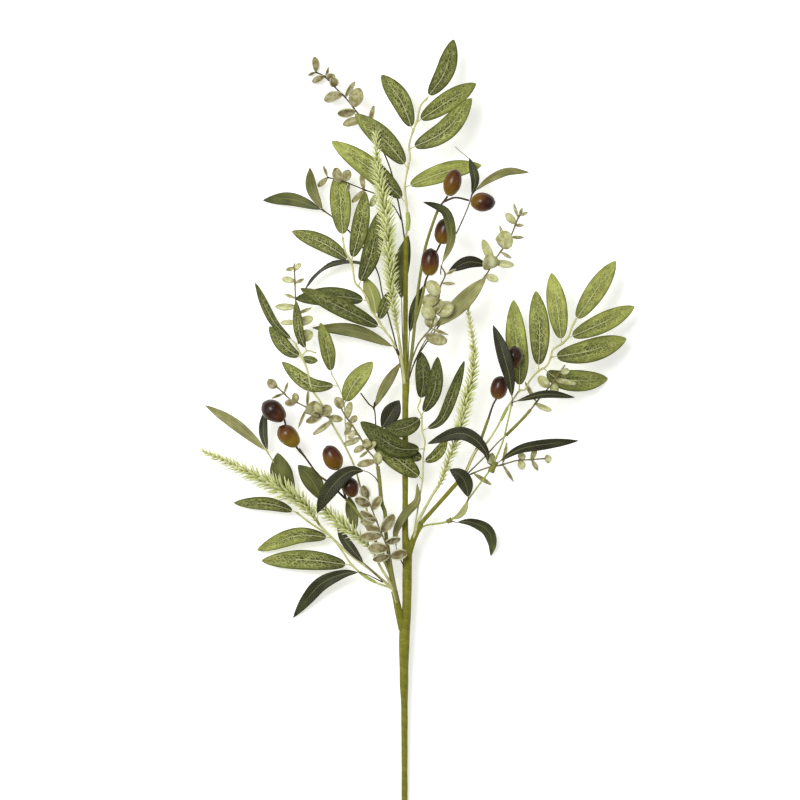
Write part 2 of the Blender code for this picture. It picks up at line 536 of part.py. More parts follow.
def hide_operand(obj):
    """Mark a piece that only feeds a Boolean."""
    obj.hide_render = True
    obj.display_type = "WIRE"


def join_pieces(body, pieces, material, root):
    """Union the pieces into the body with an exact Boolean, and parent everything to the root."""
    group = bpy.data.collections.new(body.name + "_pieces")
    for piece in pieces:
        group.objects.link(piece)
        hide_operand(piece)
        piece.parent = root
    if pieces:
        union = body.modifiers.new("join", "BOOLEAN")
        union.operation = "UNION"
        union.solver = "EXACT"
        union.operand_type = "COLLECTION"
        union.collection = group
        dress(body, material, root)


def dress(obj, material, root):
    """Give a finished node its material and parent."""
    obj.data.materials.append(material)
    obj.parent = root


def build_twigs(name, twigs):
    """All the tubes of a twig; the first is the body, the rest are joined to it."""
    tubes = []
    for number, (radius, route) in enumerate(twigs):
        label = name if number == 0 else f"{name}_twig_{number}"
        tubes.append(tube(label, route, [radius] * len(route), TWIG_SIDES))
    return tubes


def nearest_on_twigs(twigs, point):
    """The point on any twig's centre line that lies closest to the given point."""
    best = None
    for _, route in twigs:
        for start, end in zip(route, route[1:]):
            _, share = intersect_point_line(point, Vector(start), Vector(end))
            spot = Vector(start).lerp(Vector(end), min(max(share, END_INSET), 1.0 - END_INSET))
            if best is None or (spot - point).length < (best - point).length:
                best = spot
    return best


def build_leafy(name, twigs, leaves, outline, thickness, material, root):
    """A twig with its leaves as one solid; every blade starts on the twig's centre line."""
    tubes = build_twigs(name, twigs)
    pieces = tubes[1:]
    for number, (width, roll, route) in enumerate(leaves):
        rooted = [nearest_on_twigs(twigs, Vector(route[0]))] + list(route[1:])
        pieces.append(blade(f"{name}_blade_{number}", rooted, width, roll, outline, thickness))
        if outline is not ROUND_OUTLINE:
            pieces.append(leaf_stalk(f"{name}_stalk_{number}", rooted))
    join_pieces(tubes[0], pieces, material, root)


def build_stem(materials, root):
    """The taped trunk with its two forks and the taped fruit wire on the right."""
    routes = (TRUNK, LEFT_FORK, RIGHT_FORK, RIGHT_FRUIT_WIRE)
    tubes = []
    for number, route in enumerate(routes):
        label = "taped_stem" if number == 0 else f"taped_fork_{number}"
        tubes.append(tube(label, [p[:3] for p in route], [p[3] for p in route], TRUNK_SIDES))
    join_pieces(tubes[0], tubes[1:], materials["stem_tape"], root)


def build_sprigs(materials, root):
    """Leaf sprigs, wired leaves and the right-hand leaf wire."""
    for name, spec in SPRIGS.items():
        build_leafy(name, spec["twigs"], spec["leaves"], spec["outline"], BLADE_THICKNESS,
                    materials[spec["material"]], root)
    for name, (twigs, leaves) in WIRED_LEAVES.items():
        build_leafy(name, twigs, leaves, OLIVE_LEAF_OUTLINE, BLADE_THICKNESS, materials["dark_leaf"], root)
    build_leafy("right_leaf_wire", RIGHT_LEAF_WIRE, RIGHT_WIRE_LEAVES, OLIVE_LEAF_OUTLINE, BLADE_THICKNESS,
                materials["brown_twig"], root)


def build_single_leaves(materials, root):
    """Each loose dark leaf is a node of its own."""
    for name, (width, roll, route) in {**DARK_LEAVES, **RIGHT_LEAVES}.items():
        leaf = blade(name, route, width, roll, OLIVE_LEAF_OUTLINE, BLADE_THICKNESS)
        dress(leaf, materials["dark_leaf"], root)


def build_fruit(materials, root):
    """Fruit stems and olives."""
    for name, twigs in FRUIT_STEMS.items():
        build_leafy(name, twigs, (), OLIVE_LEAF_OUTLINE, BLADE_THICKNESS, materials["brown_twig"], root)
    for name, (centre, length, thickness, heading, tilt) in OLIVES.items():
        olive = olive_body(name, length, thickness)
        olive.location = Vector(centre) * MM
        olive.rotation_euler = (math.radians(tilt), 0.0, math.radians(heading))
        dress(olive, materials["olive_skin"], root)


def olive_body(name, length, thickness):
    """Olive lying along Y: rings of an ellipsoid, a little fuller past the middle."""
    bm = bmesh.new()
    rings = [[bm.verts.new((0, -0.5 * length, 0))]]
    for ring_number in range(1, OLIVE_RINGS):
        angle = math.pi * ring_number / OLIVE_RINGS
        along = -0.5 * length * math.cos(angle)
        radius = 0.5 * thickness * math.sin(angle) ** 0.92
        ring = []
        for side in range(OLIVE_SIDES):
            turn = 2 * math.pi * side / OLIVE_SIDES
            ring.append(bm.verts.new((radius * math.cos(turn), along, radius * math.sin(turn))))
        rings.append(ring)
    rings.append([bm.verts.new((0, 0.5 * length, 0))])
    close_rings(bm, rings)
    return finish_mesh(bm, name, Vector((0, 0, 0)))


def build_eucalyptus(materials, root):
    """Eucalyptus sprigs: thin twigs with small round blades."""
    for name, (twigs, leaves) in EUCALYPTUS.items():
        routes = [(width, roll, (base, tip)) for width, roll, base, tip in leaves]
        build_leafy(name, twigs, routes, ROUND_OUTLINE, SMALL_BLADE_THICKNESS, materials["eucalyptus"], root)


def build_plumes(materials, root):
    """Plumes as the solid envelope of their bristles on a thin stem."""
    for name, route in PLUMES.items():
        plume = tube(name, [p[:3] for p in route], [p[3] for p in route], PLUME_SIDES)
        dress(plume, materials["plume"], root)


def frame_spray(root):
    """Move the root so the bottom centre of the whole spray's box is the origin."""
    bpy.context.view_layer.update()
    corners = []
    for obj in bpy.data.objects:
        if obj.type == "MESH" and not obj.hide_render:
            corners.extend(obj.matrix_world @ v.co for v in evaluated_mesh(obj).vertices)
    low = Vector(min(c[axis] for c in corners) for axis in range(3))
    high = Vector(max(c[axis] for c in corners) for axis in range(3))
    root.location = (-0.5 * (low.x + high.x), -0.5 * (low.y + high.y), -low.z)


def evaluated_mesh(obj):
    """The mesh of an object once its modifiers have run."""
    return obj.evaluated_get(bpy.context.evaluated_depsgraph_get()).data


def main():
    clear_scene()
    root = bpy.data.objects.new("spray_root", None)
    bpy.context.collection.objects.link(root)
    materials = {name: make_material(name) for name in COLOURS}
    build_stem(materials, root)
    build_sprigs(materials, root)
    build_single_leaves(materials, root)
    build_fruit(materials, root)
    build_eucalyptus(materials, root)
    build_plumes(materials, root)
    frame_spray(root)


main()
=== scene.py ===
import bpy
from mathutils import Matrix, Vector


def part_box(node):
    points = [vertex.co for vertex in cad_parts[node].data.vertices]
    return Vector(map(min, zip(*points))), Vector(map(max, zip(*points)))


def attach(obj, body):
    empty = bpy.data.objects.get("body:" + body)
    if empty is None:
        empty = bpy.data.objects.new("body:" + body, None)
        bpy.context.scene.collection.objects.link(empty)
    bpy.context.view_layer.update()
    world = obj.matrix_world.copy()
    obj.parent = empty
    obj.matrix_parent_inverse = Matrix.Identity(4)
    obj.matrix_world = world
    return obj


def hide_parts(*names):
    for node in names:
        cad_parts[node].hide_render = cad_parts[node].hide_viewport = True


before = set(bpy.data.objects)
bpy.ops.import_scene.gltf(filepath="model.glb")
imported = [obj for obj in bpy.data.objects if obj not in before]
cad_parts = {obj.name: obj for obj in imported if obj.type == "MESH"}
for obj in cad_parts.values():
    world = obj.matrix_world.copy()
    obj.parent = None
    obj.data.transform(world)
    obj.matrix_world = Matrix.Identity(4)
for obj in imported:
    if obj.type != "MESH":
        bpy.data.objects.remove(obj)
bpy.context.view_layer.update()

"""Finished look of an artificial olive spray, laid on its back around its CAD frame.

Sizes in the tables are millimetres on the bench drawing of the spray: x across, y up from the cut
end of the stem, z above the table. Every mesh is written in metres in the frame of the CAD model.
"""
import logging
import math
import random
from bisect import bisect_right
from dataclasses import dataclass, field
from enum import Enum
from typing import Any, Callable, Iterable, Sequence

import bmesh
import bpy
from mathutils import Matrix, Vector

LOG = logging.getLogger("olive_spray")
MM = 0.001
FULL_TURN = 2.0 * math.pi
BODY = "root"
UP = Vector((0, 0, 1))

Point = tuple[float, float, float]
Points = tuple[Point, ...]
Colour = tuple[float, float, float]
Node = bpy.types.Node
Socket = bpy.types.NodeSocket
Tree = bpy.types.NodeTree
Material = bpy.types.Material
Radius = Callable[[float, float], float]


def srgb(red: int, green: int, blue: int) -> Colour:
    """Turn a colour given in 0 to 255 screen steps into linear light.

    Args:
        red, green, blue: Screen steps of each channel.

    Returns:
        The linear colour.
    """
    def linear(step: int) -> float:
        """One channel in linear light."""
        share = step / 255.0
        return share / 12.92 if share <= 0.04045 else ((share + 0.055) / 1.055) ** 2.4

    return linear(red), linear(green), linear(blue)


def put(name: str, data: Any) -> bpy.types.Object:
    """Link a new object that holds this data into the scene."""
    obj = bpy.data.objects.new(name, data)
    bpy.context.scene.collection.objects.link(obj)
    return obj


class Graph:
    """Adds and links shader nodes in one node tree."""

    def __init__(self, tree: Tree) -> None:
        """Keep the tree that the nodes go into."""
        self.tree = tree

    def add(self, kind: str, **settings: Any) -> Node:
        """Add a node and set its plain settings.

        Args:
            kind: Blender's identifier of the node.
            settings: Property names and values.

        Returns:
            The new node.
        """
        node = self.tree.nodes.new(kind)
        for name, value in settings.items():
            setattr(node, name, value)
        return node

    def feed(self, socket: Socket, value: Any) -> None:
        """Link a socket to another socket's output, or set its own value.

        Args:
            socket: The input to fill.
            value: An output socket, a number, a vector or a colour.
        """
        if isinstance(value, Socket):
            self.tree.links.new(value, socket)
        elif socket.type == "RGBA":
            socket.default_value = (*value[:3], 1.0)
        else:
            socket.default_value = value

    def math(self, operation: str, *values: Any, clamp: bool = False) -> Socket:
        """Combine numbers.

        Args:
            operation: The math node's operation.
            values: One to three numbers or sockets.
            clamp: Whether the result is kept between 0 and 1.

        Returns:
            The result socket.
        """
        node = self.add("ShaderNodeMath", operation=operation, use_clamp=clamp)
        for socket, value in zip(node.inputs, values):
            self.feed(socket, value)
        return node.outputs[0]

    def times(self, first: Any, second: Any) -> Socket:
        """Product of two numbers."""
        return self.math("MULTIPLY", first, second)

    def most(self, first: Any, second: Any) -> Socket:
        """The larger of two numbers."""
        return self.math("MAXIMUM", first, second)

    def mix(self, share: Any, first: Any, second: Any, blend: str = "MIX") -> Socket:
        """Blend two colours.

        Args:
            share: How much of the second colour shows.
            first: Colour or socket at share 0.
            second: Colour or socket at share 1.
            blend: How they blend.

        Returns:
            The blended colour socket.
        """
        node = self.add("ShaderNodeMix", data_type="RGBA", blend_type=blend)
        for index, value in ((0, share), (6, first), (7, second)):
            self.feed(node.inputs[index], value)
        return node.outputs[2]

    def shade(self, colour: Any, value: Any) -> Socket:
        """Multiply a colour by a brightness, 1 leaving it unchanged."""
        return self.mix(1.0, colour, value, "MULTIPLY")

    def span(self, value: Any, low: float, high: float, out_low: Any = 0.0,
             out_high: Any = 1.0) -> Socket:
        """Map a value smoothly from one range to another.

        Args:
            value: Number socket.
            low, high: Ends of the incoming range.
            out_low, out_high: Ends of the outgoing range.

        Returns:
            The mapped number socket.
        """
        node = self.add("ShaderNodeMapRange", interpolation_type="SMOOTHSTEP")
        for socket, item in zip(node.inputs, (value, low, high, out_low, out_high)):
            self.feed(socket, item)
        return node.outputs[0]

    def ramp(self, value: Any, stops: Sequence[tuple[float, Colour]]) -> Socket:
        """Colour a value by a row of stops.

        Args:
            value: Number socket.
            stops: Place and colour of each stop, in rising order.

        Returns:
            The colour socket.
        """
        node = self.add("ShaderNodeValToRGB")
        elements = node.color_ramp.elements
        while len(elements) < len(stops):
            elements.new(1.0)
        for element, (place, colour) in zip(elements, stops):
            element.position = place
            element.color = (*colour, 1.0)
        self.feed(node.inputs[0], value)
        return node.outputs[0]

    def noise(self, vector: Any, scale: float, detail: float) -> Socket:
        """Soft noise between 0 and 1.

        Args:
            vector: Where the noise is read.
            scale: Waves in each unit of the vector.
            detail: Octaves.

        Returns:
            The noise socket.
        """
        node = self.add("ShaderNodeTexNoise")
        for name, value in (("Vector", vector), ("Scale", scale), ("Detail", detail)):
            self.feed(node.inputs[name], value)
        return node.outputs["Fac"]

    def stretch(self, vector: Any, *factors: float) -> Socket:
        """Scale a vector by a factor on each axis."""
        node = self.add("ShaderNodeVectorMath", operation="MULTIPLY")
        self.feed(node.inputs[0], vector)
        node.inputs[1].default_value = factors
        return node.outputs[0]

    def cloud(self, vector: Any, *factors: float, detail: float = 2.0) -> Socket:
        """Soft noise with its own number of waves in each unit of each axis."""
        return self.noise(self.stretch(vector, *factors), 1.0, detail)

    def attribute(self, name: str) -> Socket:
        """The vector that a piece's mesh carries under this name."""
        return self.add("ShaderNodeAttribute", attribute_name=name).outputs["Vector"]

    def place(self) -> Socket:
        """The place on the object in metres."""
        return self.add("ShaderNodeTexCoord").outputs["Object"]

    def axes(self, vector: Any) -> tuple[Socket, ...]:
        """The three numbers of a vector socket."""
        node = self.add("ShaderNodeSeparateXYZ")
        self.feed(node.inputs[0], vector)
        return tuple(node.outputs)

    def group(self, tree: Tree, **values: Any) -> dict[str, Socket]:
        """Place a shared node group with its own values.

        Args:
            tree: The group.
            values: Inputs by name, underscores standing for spaces.

        Returns:
            The group's outputs by name.
        """
        node = self.add("ShaderNodeGroup", node_tree=tree)
        for name, value in values.items():
            self.feed(node.inputs[name.replace("_", " ").title()], value)
        return {socket.name: socket for socket in node.outputs}

    def relief(self, height: Any, depth: float) -> Socket:
        """A normal bumped by a height between 0 and 1, a full step being the depth in metres."""
        node = self.add("ShaderNodeBump")
        for name, value in (("Strength", 1.0), ("Distance", depth), ("Height", height)):
            self.feed(node.inputs[name], value)
        return node.outputs["Normal"]


def new_material(name: str) -> tuple[Material, Graph, Node]:
    """A new material with its graph and its Principled shader."""
    material = bpy.data.materials.new(name)
    material.use_nodes = True
    return material, Graph(material.node_tree), material.node_tree.nodes["Principled BSDF"]


class SharedEffects:
    """Node groups that several finishes place: mottling, blade masks, weave and long grain."""

    def __init__(self) -> None:
        """Build every group once."""
        self.mottle = self.build_mottle()
        self.blade = self.build_blade()
        self.weave = self.build_weave()
        self.grain = self.build_grain()

    @staticmethod
    def start(name: str, inputs: Sequence[str], outputs: Sequence[str]
              ) -> tuple[Graph, dict[str, Socket], dict[str, Socket]]:
        """An empty group whose sockets are numbers, but for a vector called Vector.

        Args:
            name: The group's name.
            inputs, outputs: Names of its sockets.

        Returns:
            The group's graph, the sockets that bring its inputs and those that take its outputs.
        """
        tree = bpy.data.node_groups.new(name, "ShaderNodeTree")
        for labels, side in ((inputs, "INPUT"), (outputs, "OUTPUT")):
            for label in labels:
                kind = "Vector" if label == "Vector" else "Float"
                tree.interface.new_socket(name=label, in_out=side, socket_type=f"NodeSocket{kind}")
        graph = Graph(tree)
        source, result = graph.add("NodeGroupInput"), graph.add("NodeGroupOutput")
        return (graph, {label: source.outputs[label] for label in inputs},
                {label: result.inputs[label] for label in outputs})

    def build_mottle(self) -> Tree:
        """Uneven dye: a brightness that drifts between two values."""
        graph, given, result = self.start("dye_mottle", ("Vector", "Low", "High"), ("Value",))
        cloud = graph.noise(given["Vector"], 1.0, 4.0)
        graph.feed(result["Value"], graph.span(cloud, 0.32, 0.68, given["Low"], given["High"]))
        return graph.tree

    def build_blade(self) -> Tree:
        """Masks that follow a leaf blade: its rib, rim, heart and plain place values."""
        graph, given, result = self.start(
            "blade_masks", ("Rib Width", "Rib End"),
            ("Across", "Along", "Tone", "Rib", "Rim", "Heart", "Lateral"))
        cloth = graph.attribute("cloth")
        across, along, tone = graph.axes(graph.attribute("blade"))
        across_mm, along_mm, _ = graph.axes(cloth)
        out, out_mm = graph.math("ABSOLUTE", across), graph.math("ABSOLUTE", across_mm)
        left = graph.math("SUBTRACT", given["Rib End"], along)
        taper = graph.times(given["Rib Width"], graph.span(left, 0.0, 0.5))
        rib = graph.math("DIVIDE", graph.math("SUBTRACT", taper, out_mm), 0.3, clamp=True)
        heart = graph.times(graph.span(out, 0.1, 0.72, 1.0, 0.0),
                            graph.span(along, 0.45, 0.95, 1.0, 0.0))
        heart = graph.most(heart, graph.span(along, 0.02, 0.42, 0.8, 0.0))
        wobble = graph.cloud(cloth, 0.45, 0.45, 1.0)
        slant = graph.math("DIVIDE", graph.math("SUBTRACT", along_mm, out_mm), 2.9)
        wave = graph.math("PINGPONG", graph.math("MULTIPLY_ADD", wobble, 0.9, slant), 0.5)
        lateral = graph.span(wave, 0.03, 0.2, 1.0, 0.0)
        rim = graph.span(out, 0.84, 0.99)
        for socket, value in zip(result.values(), (out, along, tone, rib, rim, heart, lateral)):
            graph.feed(socket, value)
        return graph.tree

    def build_weave(self) -> Tree:
        """Fine plain weave of the leaf cloth."""
        graph, given, result = self.start("leaf_weave", ("Vector", "Threads"), ("Height",))
        across, along, _ = graph.axes(given["Vector"])
        threads = [graph.math("SINE", graph.times(graph.times(place, given["Threads"]), FULL_TURN))
                   for place in (across, along)]
        both = graph.times(*threads)
        graph.feed(result["Height"], graph.math("MULTIPLY_ADD", both, 0.5, 0.5))
        return graph.tree

    def build_grain(self) -> Tree:
        """Lengthwise streaks for twigs and tape."""
        graph, given, result = self.start("long_grain", ("Vector", "Low", "High"),
                                          ("Value", "Height"))
        fine = graph.noise(graph.stretch(given["Vector"], 1.0, 1.0, 0.35), 2.4, 3.0)
        graph.feed(result["Value"], graph.span(fine, 0.3, 0.7, given["Low"], given["High"]))
        graph.feed(result["Height"], fine)
        return graph.tree


@dataclass(frozen=True)
class Finish:
    """What every finish has: a name, its shared effects, and how rough it is."""

    name: str
    effects: SharedEffects
    roughness: float = 0.6

    def dye(self, graph: Graph, place: Any, factors: Point, low: float, high: float) -> Socket:
        """Brightness of uneven dye.

        Args:
            graph: The material's graph.
            place: Where it is read.
            factors: Waves in each unit of each axis.
            low, high: Its darkest and lightest value.

        Returns:
            The brightness socket.
        """
        return graph.group(self.effects.mottle, vector=graph.stretch(place, *factors),
                           low=low, high=high)["Value"]

    def satin(self, graph: Graph, grain: Any, extra: float) -> Socket:
        """Roughness that rises by the extra with the grain."""
        return graph.span(grain, 0.3, 0.7, self.roughness, self.roughness + extra)

    def wire(self, graph: Graph, shader: Node, colour: Any, height: Any, depth: float,
             roughness: Any, **others: Any) -> None:
        """Connect colour, relief and roughness to the shader and set its other values.

        Args:
            graph: The material's graph.
            shader: The Principled shader.
            colour: Colour socket.
            height: Height socket.
            depth: Relief of a full step in metres.
            roughness: Roughness socket.
            others: Other inputs by name, underscores standing for spaces.
        """
        plain = {"Specular_IOR_Level": 0.18, **others}
        for name, value in {"Base Color": colour, "Normal": graph.relief(height, depth),
                            "Roughness": roughness, **plain}.items():
            graph.feed(shader.inputs[name.replace("_", " ")], value)


@dataclass(frozen=True)
class VeinedCloth(Finish):
    """Printed cloth leaf: green, dark along the heart, with a pale net and a pale rib."""

    deep: Colour = srgb(54, 62, 14)
    light: Colour = srgb(160, 167, 80)
    warm: Colour = srgb(132, 128, 62)
    heart: Colour = srgb(40, 44, 8)
    net: Colour = srgb(214, 220, 136)
    rib: Colour = srgb(218, 222, 164)
    # painted shade: the dark outline that a leaf edge in shadow shows
    rim: Colour = srgb(66, 76, 28)
    rib_width: float = 0.36
    net_cell: float = 2.6

    def build(self) -> Material:
        """Make the material."""
        material, graph, shader = new_material(self.name)
        cloth = graph.attribute("cloth")
        masks = graph.group(self.effects.blade, rib_width=self.rib_width, rib_end=0.95)
        tone = masks["Tone"]
        dye = self.dye(graph, cloth, (0.16, 0.07, 1.0), 0.78, 1.18)
        colour = graph.mix(graph.span(tone, 0.14, 0.98), self.deep, self.light)
        warm = graph.cloud(cloth, 0.2, 0.05, 1.3)
        colour = graph.mix(graph.span(warm, 0.48, 0.72, 0.0, 0.3), colour, self.warm)
        patch = graph.cloud(cloth, 0.3, 0.16, 2.0)
        shadow = graph.times(masks["Heart"], graph.span(patch, 0.34, 0.6, 0.62, 1.0))
        shadow = graph.times(shadow, graph.span(tone, 0.5, 0.9, 1.0, 0.42))
        colour = graph.mix(shadow, colour, self.heart)
        streak = graph.cloud(cloth, 1.1, 0.08, 1.0, detail=3.0)
        colour = graph.shade(graph.shade(colour, dye), graph.span(streak, 0.3, 0.7, 0.72, 1.18))
        threads = self.net_lines(graph, cloth, masks, patch)
        strength = graph.span(tone, 0.26, 0.5, 0.3, 0.76)
        colour = graph.mix(graph.times(threads, strength), colour, self.net)
        # painted shade: the blade darkens towards its edge, as an edge in shadow would
        colour = graph.mix(graph.times(masks["Rim"], 0.6), colour, self.rim)
        rib = graph.times(masks["Rib"], graph.span(tone, 0.2, 0.5, 0.4, 0.95))
        colour = graph.mix(rib, colour, self.rib)
        weave = graph.group(self.effects.weave, vector=cloth, threads=1.9)["Height"]
        height = graph.most(masks["Rib"], graph.times(threads, 0.6))
        height = graph.math("MULTIPLY_ADD", weave, 0.16, height)
        rough = graph.span(threads, 0.0, 1.0, self.roughness - 0.06, self.roughness + 0.1)
        self.wire(graph, shader, colour, height, 0.00016, rough)
        return material

    def net_lines(self, graph: Graph, cloth: Any, masks: dict[str, Any], patch: Any) -> Socket:
        """Fine pale veins, strong over the heart and broken towards the rim.

        Args:
            graph: The material's graph.
            cloth: The leaf's place vector in millimetres.
            masks: Outputs of the blade group.
            patch: Noise that breaks the net up.

        Returns:
            The mask of the net.
        """
        cells = graph.add("ShaderNodeTexVoronoi", feature="DISTANCE_TO_EDGE")
        graph.feed(cells.inputs["Vector"], graph.stretch(cloth, 1.15, 0.52, 1.0))
        graph.feed(cells.inputs["Scale"], 1.0 / self.net_cell)
        lines = graph.span(cells.outputs["Distance"], 0.03, 0.13, 0.7, 0.0)
        dashes = graph.cloud(cloth, 0.9, 0.6, 1.0)
        laterals = graph.times(masks["Lateral"], graph.span(dashes, 0.38, 0.6, 0.15, 0.85))
        lines = graph.most(lines, laterals)
        for mask, ends in ((masks["Across"], (0.5, 0.98, 1.0, 0.12)),
                           (masks["Along"], (0.75, 1.0, 1.0, 0.3)),
                           (masks["Along"], (0.02, 0.38, 0.4, 1.0)),
                           (patch, (0.36, 0.62, 0.45, 1.0))):
            lines = graph.times(lines, graph.span(mask, *ends))
        return lines


@dataclass(frozen=True)
class PaleUnderside(Finish):
    """Back of a cloth leaf: one soft colour with a raised rib and the weave showing."""

    colour: Colour = srgb(150, 154, 90)
    rib_colour: Colour = srgb(190, 192, 126)

    def build(self) -> Material:
        """Make the material."""
        material, graph, shader = new_material(self.name)
        cloth = graph.attribute("cloth")
        masks = graph.group(self.effects.blade, rib_width=0.6, rib_end=1.0)
        dye = self.dye(graph, cloth, (0.3, 0.08, 1.0), 0.86, 1.1)
        colour = graph.shade(graph.mix(masks["Rib"], self.colour, self.rib_colour), dye)
        colour = graph.mix(graph.times(masks["Lateral"], 0.18), colour, self.rib_colour)
        weave = graph.group(self.effects.weave, vector=cloth, threads=1.6)["Height"]
        height = graph.math("MULTIPLY_ADD", weave, 0.3, masks["Rib"])
        self.wire(graph, shader, colour, height, 0.00014, graph.span(dye, 0.8, 1.1, 0.62, 0.76))
        return material


@dataclass(frozen=True)
class CoatedCloth(Finish):
    """Dark coated olive leaf: streaked, satin, from near-black green to khaki by tone."""

    tones: tuple = ((0.0, srgb(40, 38, 27)), (0.25, srgb(60, 66, 38)), (0.5, srgb(96, 100, 48)),
                    (0.75, srgb(134, 131, 80)), (1.0, srgb(176, 178, 116)))
    vein: Colour = srgb(150, 152, 96)
    # painted shade: the dark outline that a leaf edge in shadow shows
    rim: Colour = srgb(52, 50, 32)

    def build(self) -> Material:
        """Make the material."""
        material, graph, shader = new_material(self.name)
        cloth = graph.attribute("cloth")
        masks = graph.group(self.effects.blade, rib_width=0.42, rib_end=1.0)
        streak = graph.cloud(cloth, 0.9, 0.06, 1.0, detail=3.0)
        patch = graph.cloud(cloth, 0.1, 0.06, 2.0, detail=3.0)
        drift = graph.span(patch, 0.3, 0.7, -0.09, 0.09)
        colour = graph.ramp(graph.math("ADD", masks["Tone"], drift, clamp=True), self.tones)
        colour = graph.shade(colour, graph.span(streak, 0.3, 0.7, 0.78, 1.22))
        vein = graph.most(graph.times(masks["Lateral"], 0.14), graph.times(masks["Rib"], 0.5))
        colour = graph.mix(vein, colour, self.vein)
        # painted shade: the blade darkens towards its edge, as an edge in shadow would
        colour = graph.mix(graph.times(masks["Rim"], 0.35), colour, self.rim)
        weave = graph.group(self.effects.weave, vector=cloth, threads=1.5)["Height"]
        height = graph.math("MULTIPLY_ADD", weave, 0.12, graph.times(streak, 0.8))
        height = graph.most(height, masks["Rib"])
        self.wire(graph, shader, colour, height, 0.00012, self.satin(graph, streak, 0.14))
        return material


@dataclass(frozen=True)
class FrostedLeaf(Finish):
    """Eucalyptus leaf: khaki to pale green with patches of frost, the dark ones rimmed pale."""

    tones: tuple = ((0.0, srgb(92, 82, 48)), (0.35, srgb(136, 124, 74)),
                    (0.7, srgb(172, 170, 106)), (1.0, srgb(200, 204, 138)))
    frost: Colour = srgb(224, 224, 188)
    shadow: Colour = srgb(98, 88, 50)

    def build(self) -> Material:
        """Make the material."""
        material, graph, shader = new_material(self.name)
        cloth = graph.attribute("cloth")
        masks = graph.group(self.effects.blade, rib_width=0.3, rib_end=0.9)
        tone, across, along = masks["Tone"], masks["Across"], masks["Along"]
        dye = self.dye(graph, cloth, (0.3, 0.3, 1.0), 0.8, 1.12)
        colour = graph.shade(graph.ramp(tone, self.tones), dye)
        dust = graph.span(graph.cloud(cloth, 0.24, 0.24, 1.0), 0.4, 0.62, 0.0, 0.7)
        frost = graph.times(dust, graph.span(tone, 0.1, 0.9, 0.35, 0.9))
        colour = graph.mix(frost, colour, self.frost)
        edge = graph.most(graph.span(across, 0.55, 0.98), graph.span(along, 0.8, 1.0))
        shaded = graph.times(edge, graph.span(tone, 0.2, 0.9, 0.6, 0.3))
        colour = graph.mix(shaded, colour, self.shadow)
        base = graph.most(graph.span(along, 0.0, 0.3, 0.5, 0.0), graph.times(masks["Rib"], 0.45))
        colour = graph.mix(base, colour, self.shadow)
        pale = graph.times(graph.span(across, 0.7, 0.92), graph.span(tone, 0.16, 0.55, 0.8, 0.1))
        colour = graph.mix(pale, colour, self.frost)
        self.wire(graph, shader, colour, dust, 0.00012,
                  graph.span(frost, 0.0, 1.0, self.roughness, 0.85))
        return material


@dataclass(frozen=True)
class BristleSkin(Finish):
    """Soft plastic bristle: pale yellow green, greener and darker where it leaves the stem as
    painted shade.
    """

    # painted shade: the dark root stop stands in for the shade among the crowded bristle roots
    tones: tuple = ((0.0, srgb(112, 118, 50)), (0.42, srgb(216, 221, 148)),
                    (1.0, srgb(240, 244, 190)))

    def build(self) -> Material:
        """Make the material."""
        material, graph, shader = new_material(self.name)
        along, tone, _ = graph.axes(graph.attribute("bristle"))
        colour = graph.shade(graph.ramp(along, self.tones), graph.span(tone, 0.0, 1.0, 0.86, 1.08))
        spots = graph.cloud(graph.place(), 400.0, 400.0, 400.0)
        colour = graph.shade(colour, graph.span(spots, 0.3, 0.7, 0.93, 1.05))
        self.wire(graph, shader, colour, spots, 0.00005, self.satin(graph, spots, 0.12),
                  Subsurface_Weight=0.12, Subsurface_Radius=(0.6, 0.8, 0.3),
                  Subsurface_Scale=0.002)
        return material


@dataclass(frozen=True)
class OliveSkin(Finish):
    """Lacquered olive: golden green at the stalk, ripening to burgundy brown."""

    tones: tuple = ((0.0, srgb(128, 102, 10)), (0.3, srgb(110, 76, 10)), (0.55, srgb(86, 46, 14)),
                    (0.8, srgb(64, 31, 14)), (1.0, srgb(44, 22, 12)))
    freckle: Colour = srgb(150, 110, 70)

    def build(self) -> Material:
        """Make the material."""
        material, graph, shader = new_material(self.name)
        along, ripeness, _ = graph.axes(graph.attribute("fruit"))
        place = graph.place()
        drift = graph.span(graph.noise(place, 62.0, 2.0), 0.3, 0.7, -0.16, 0.16)
        level = graph.math("ADD", graph.math("ADD", along, drift), ripeness, clamp=True)
        freckles = graph.span(graph.noise(place, 900.0, 2.0), 0.6, 0.72, 0.0, 0.22)
        colour = graph.mix(freckles, graph.ramp(level, self.tones), self.freckle)
        dents = graph.noise(place, 240.0, 3.0)
        self.wire(graph, shader, colour, dents, 0.00006, self.satin(graph, dents, 0.08),
                  Specular_IOR_Level=0.14, Coat_Weight=0.6, Coat_IOR=1.38, Coat_Roughness=0.18)
        return material


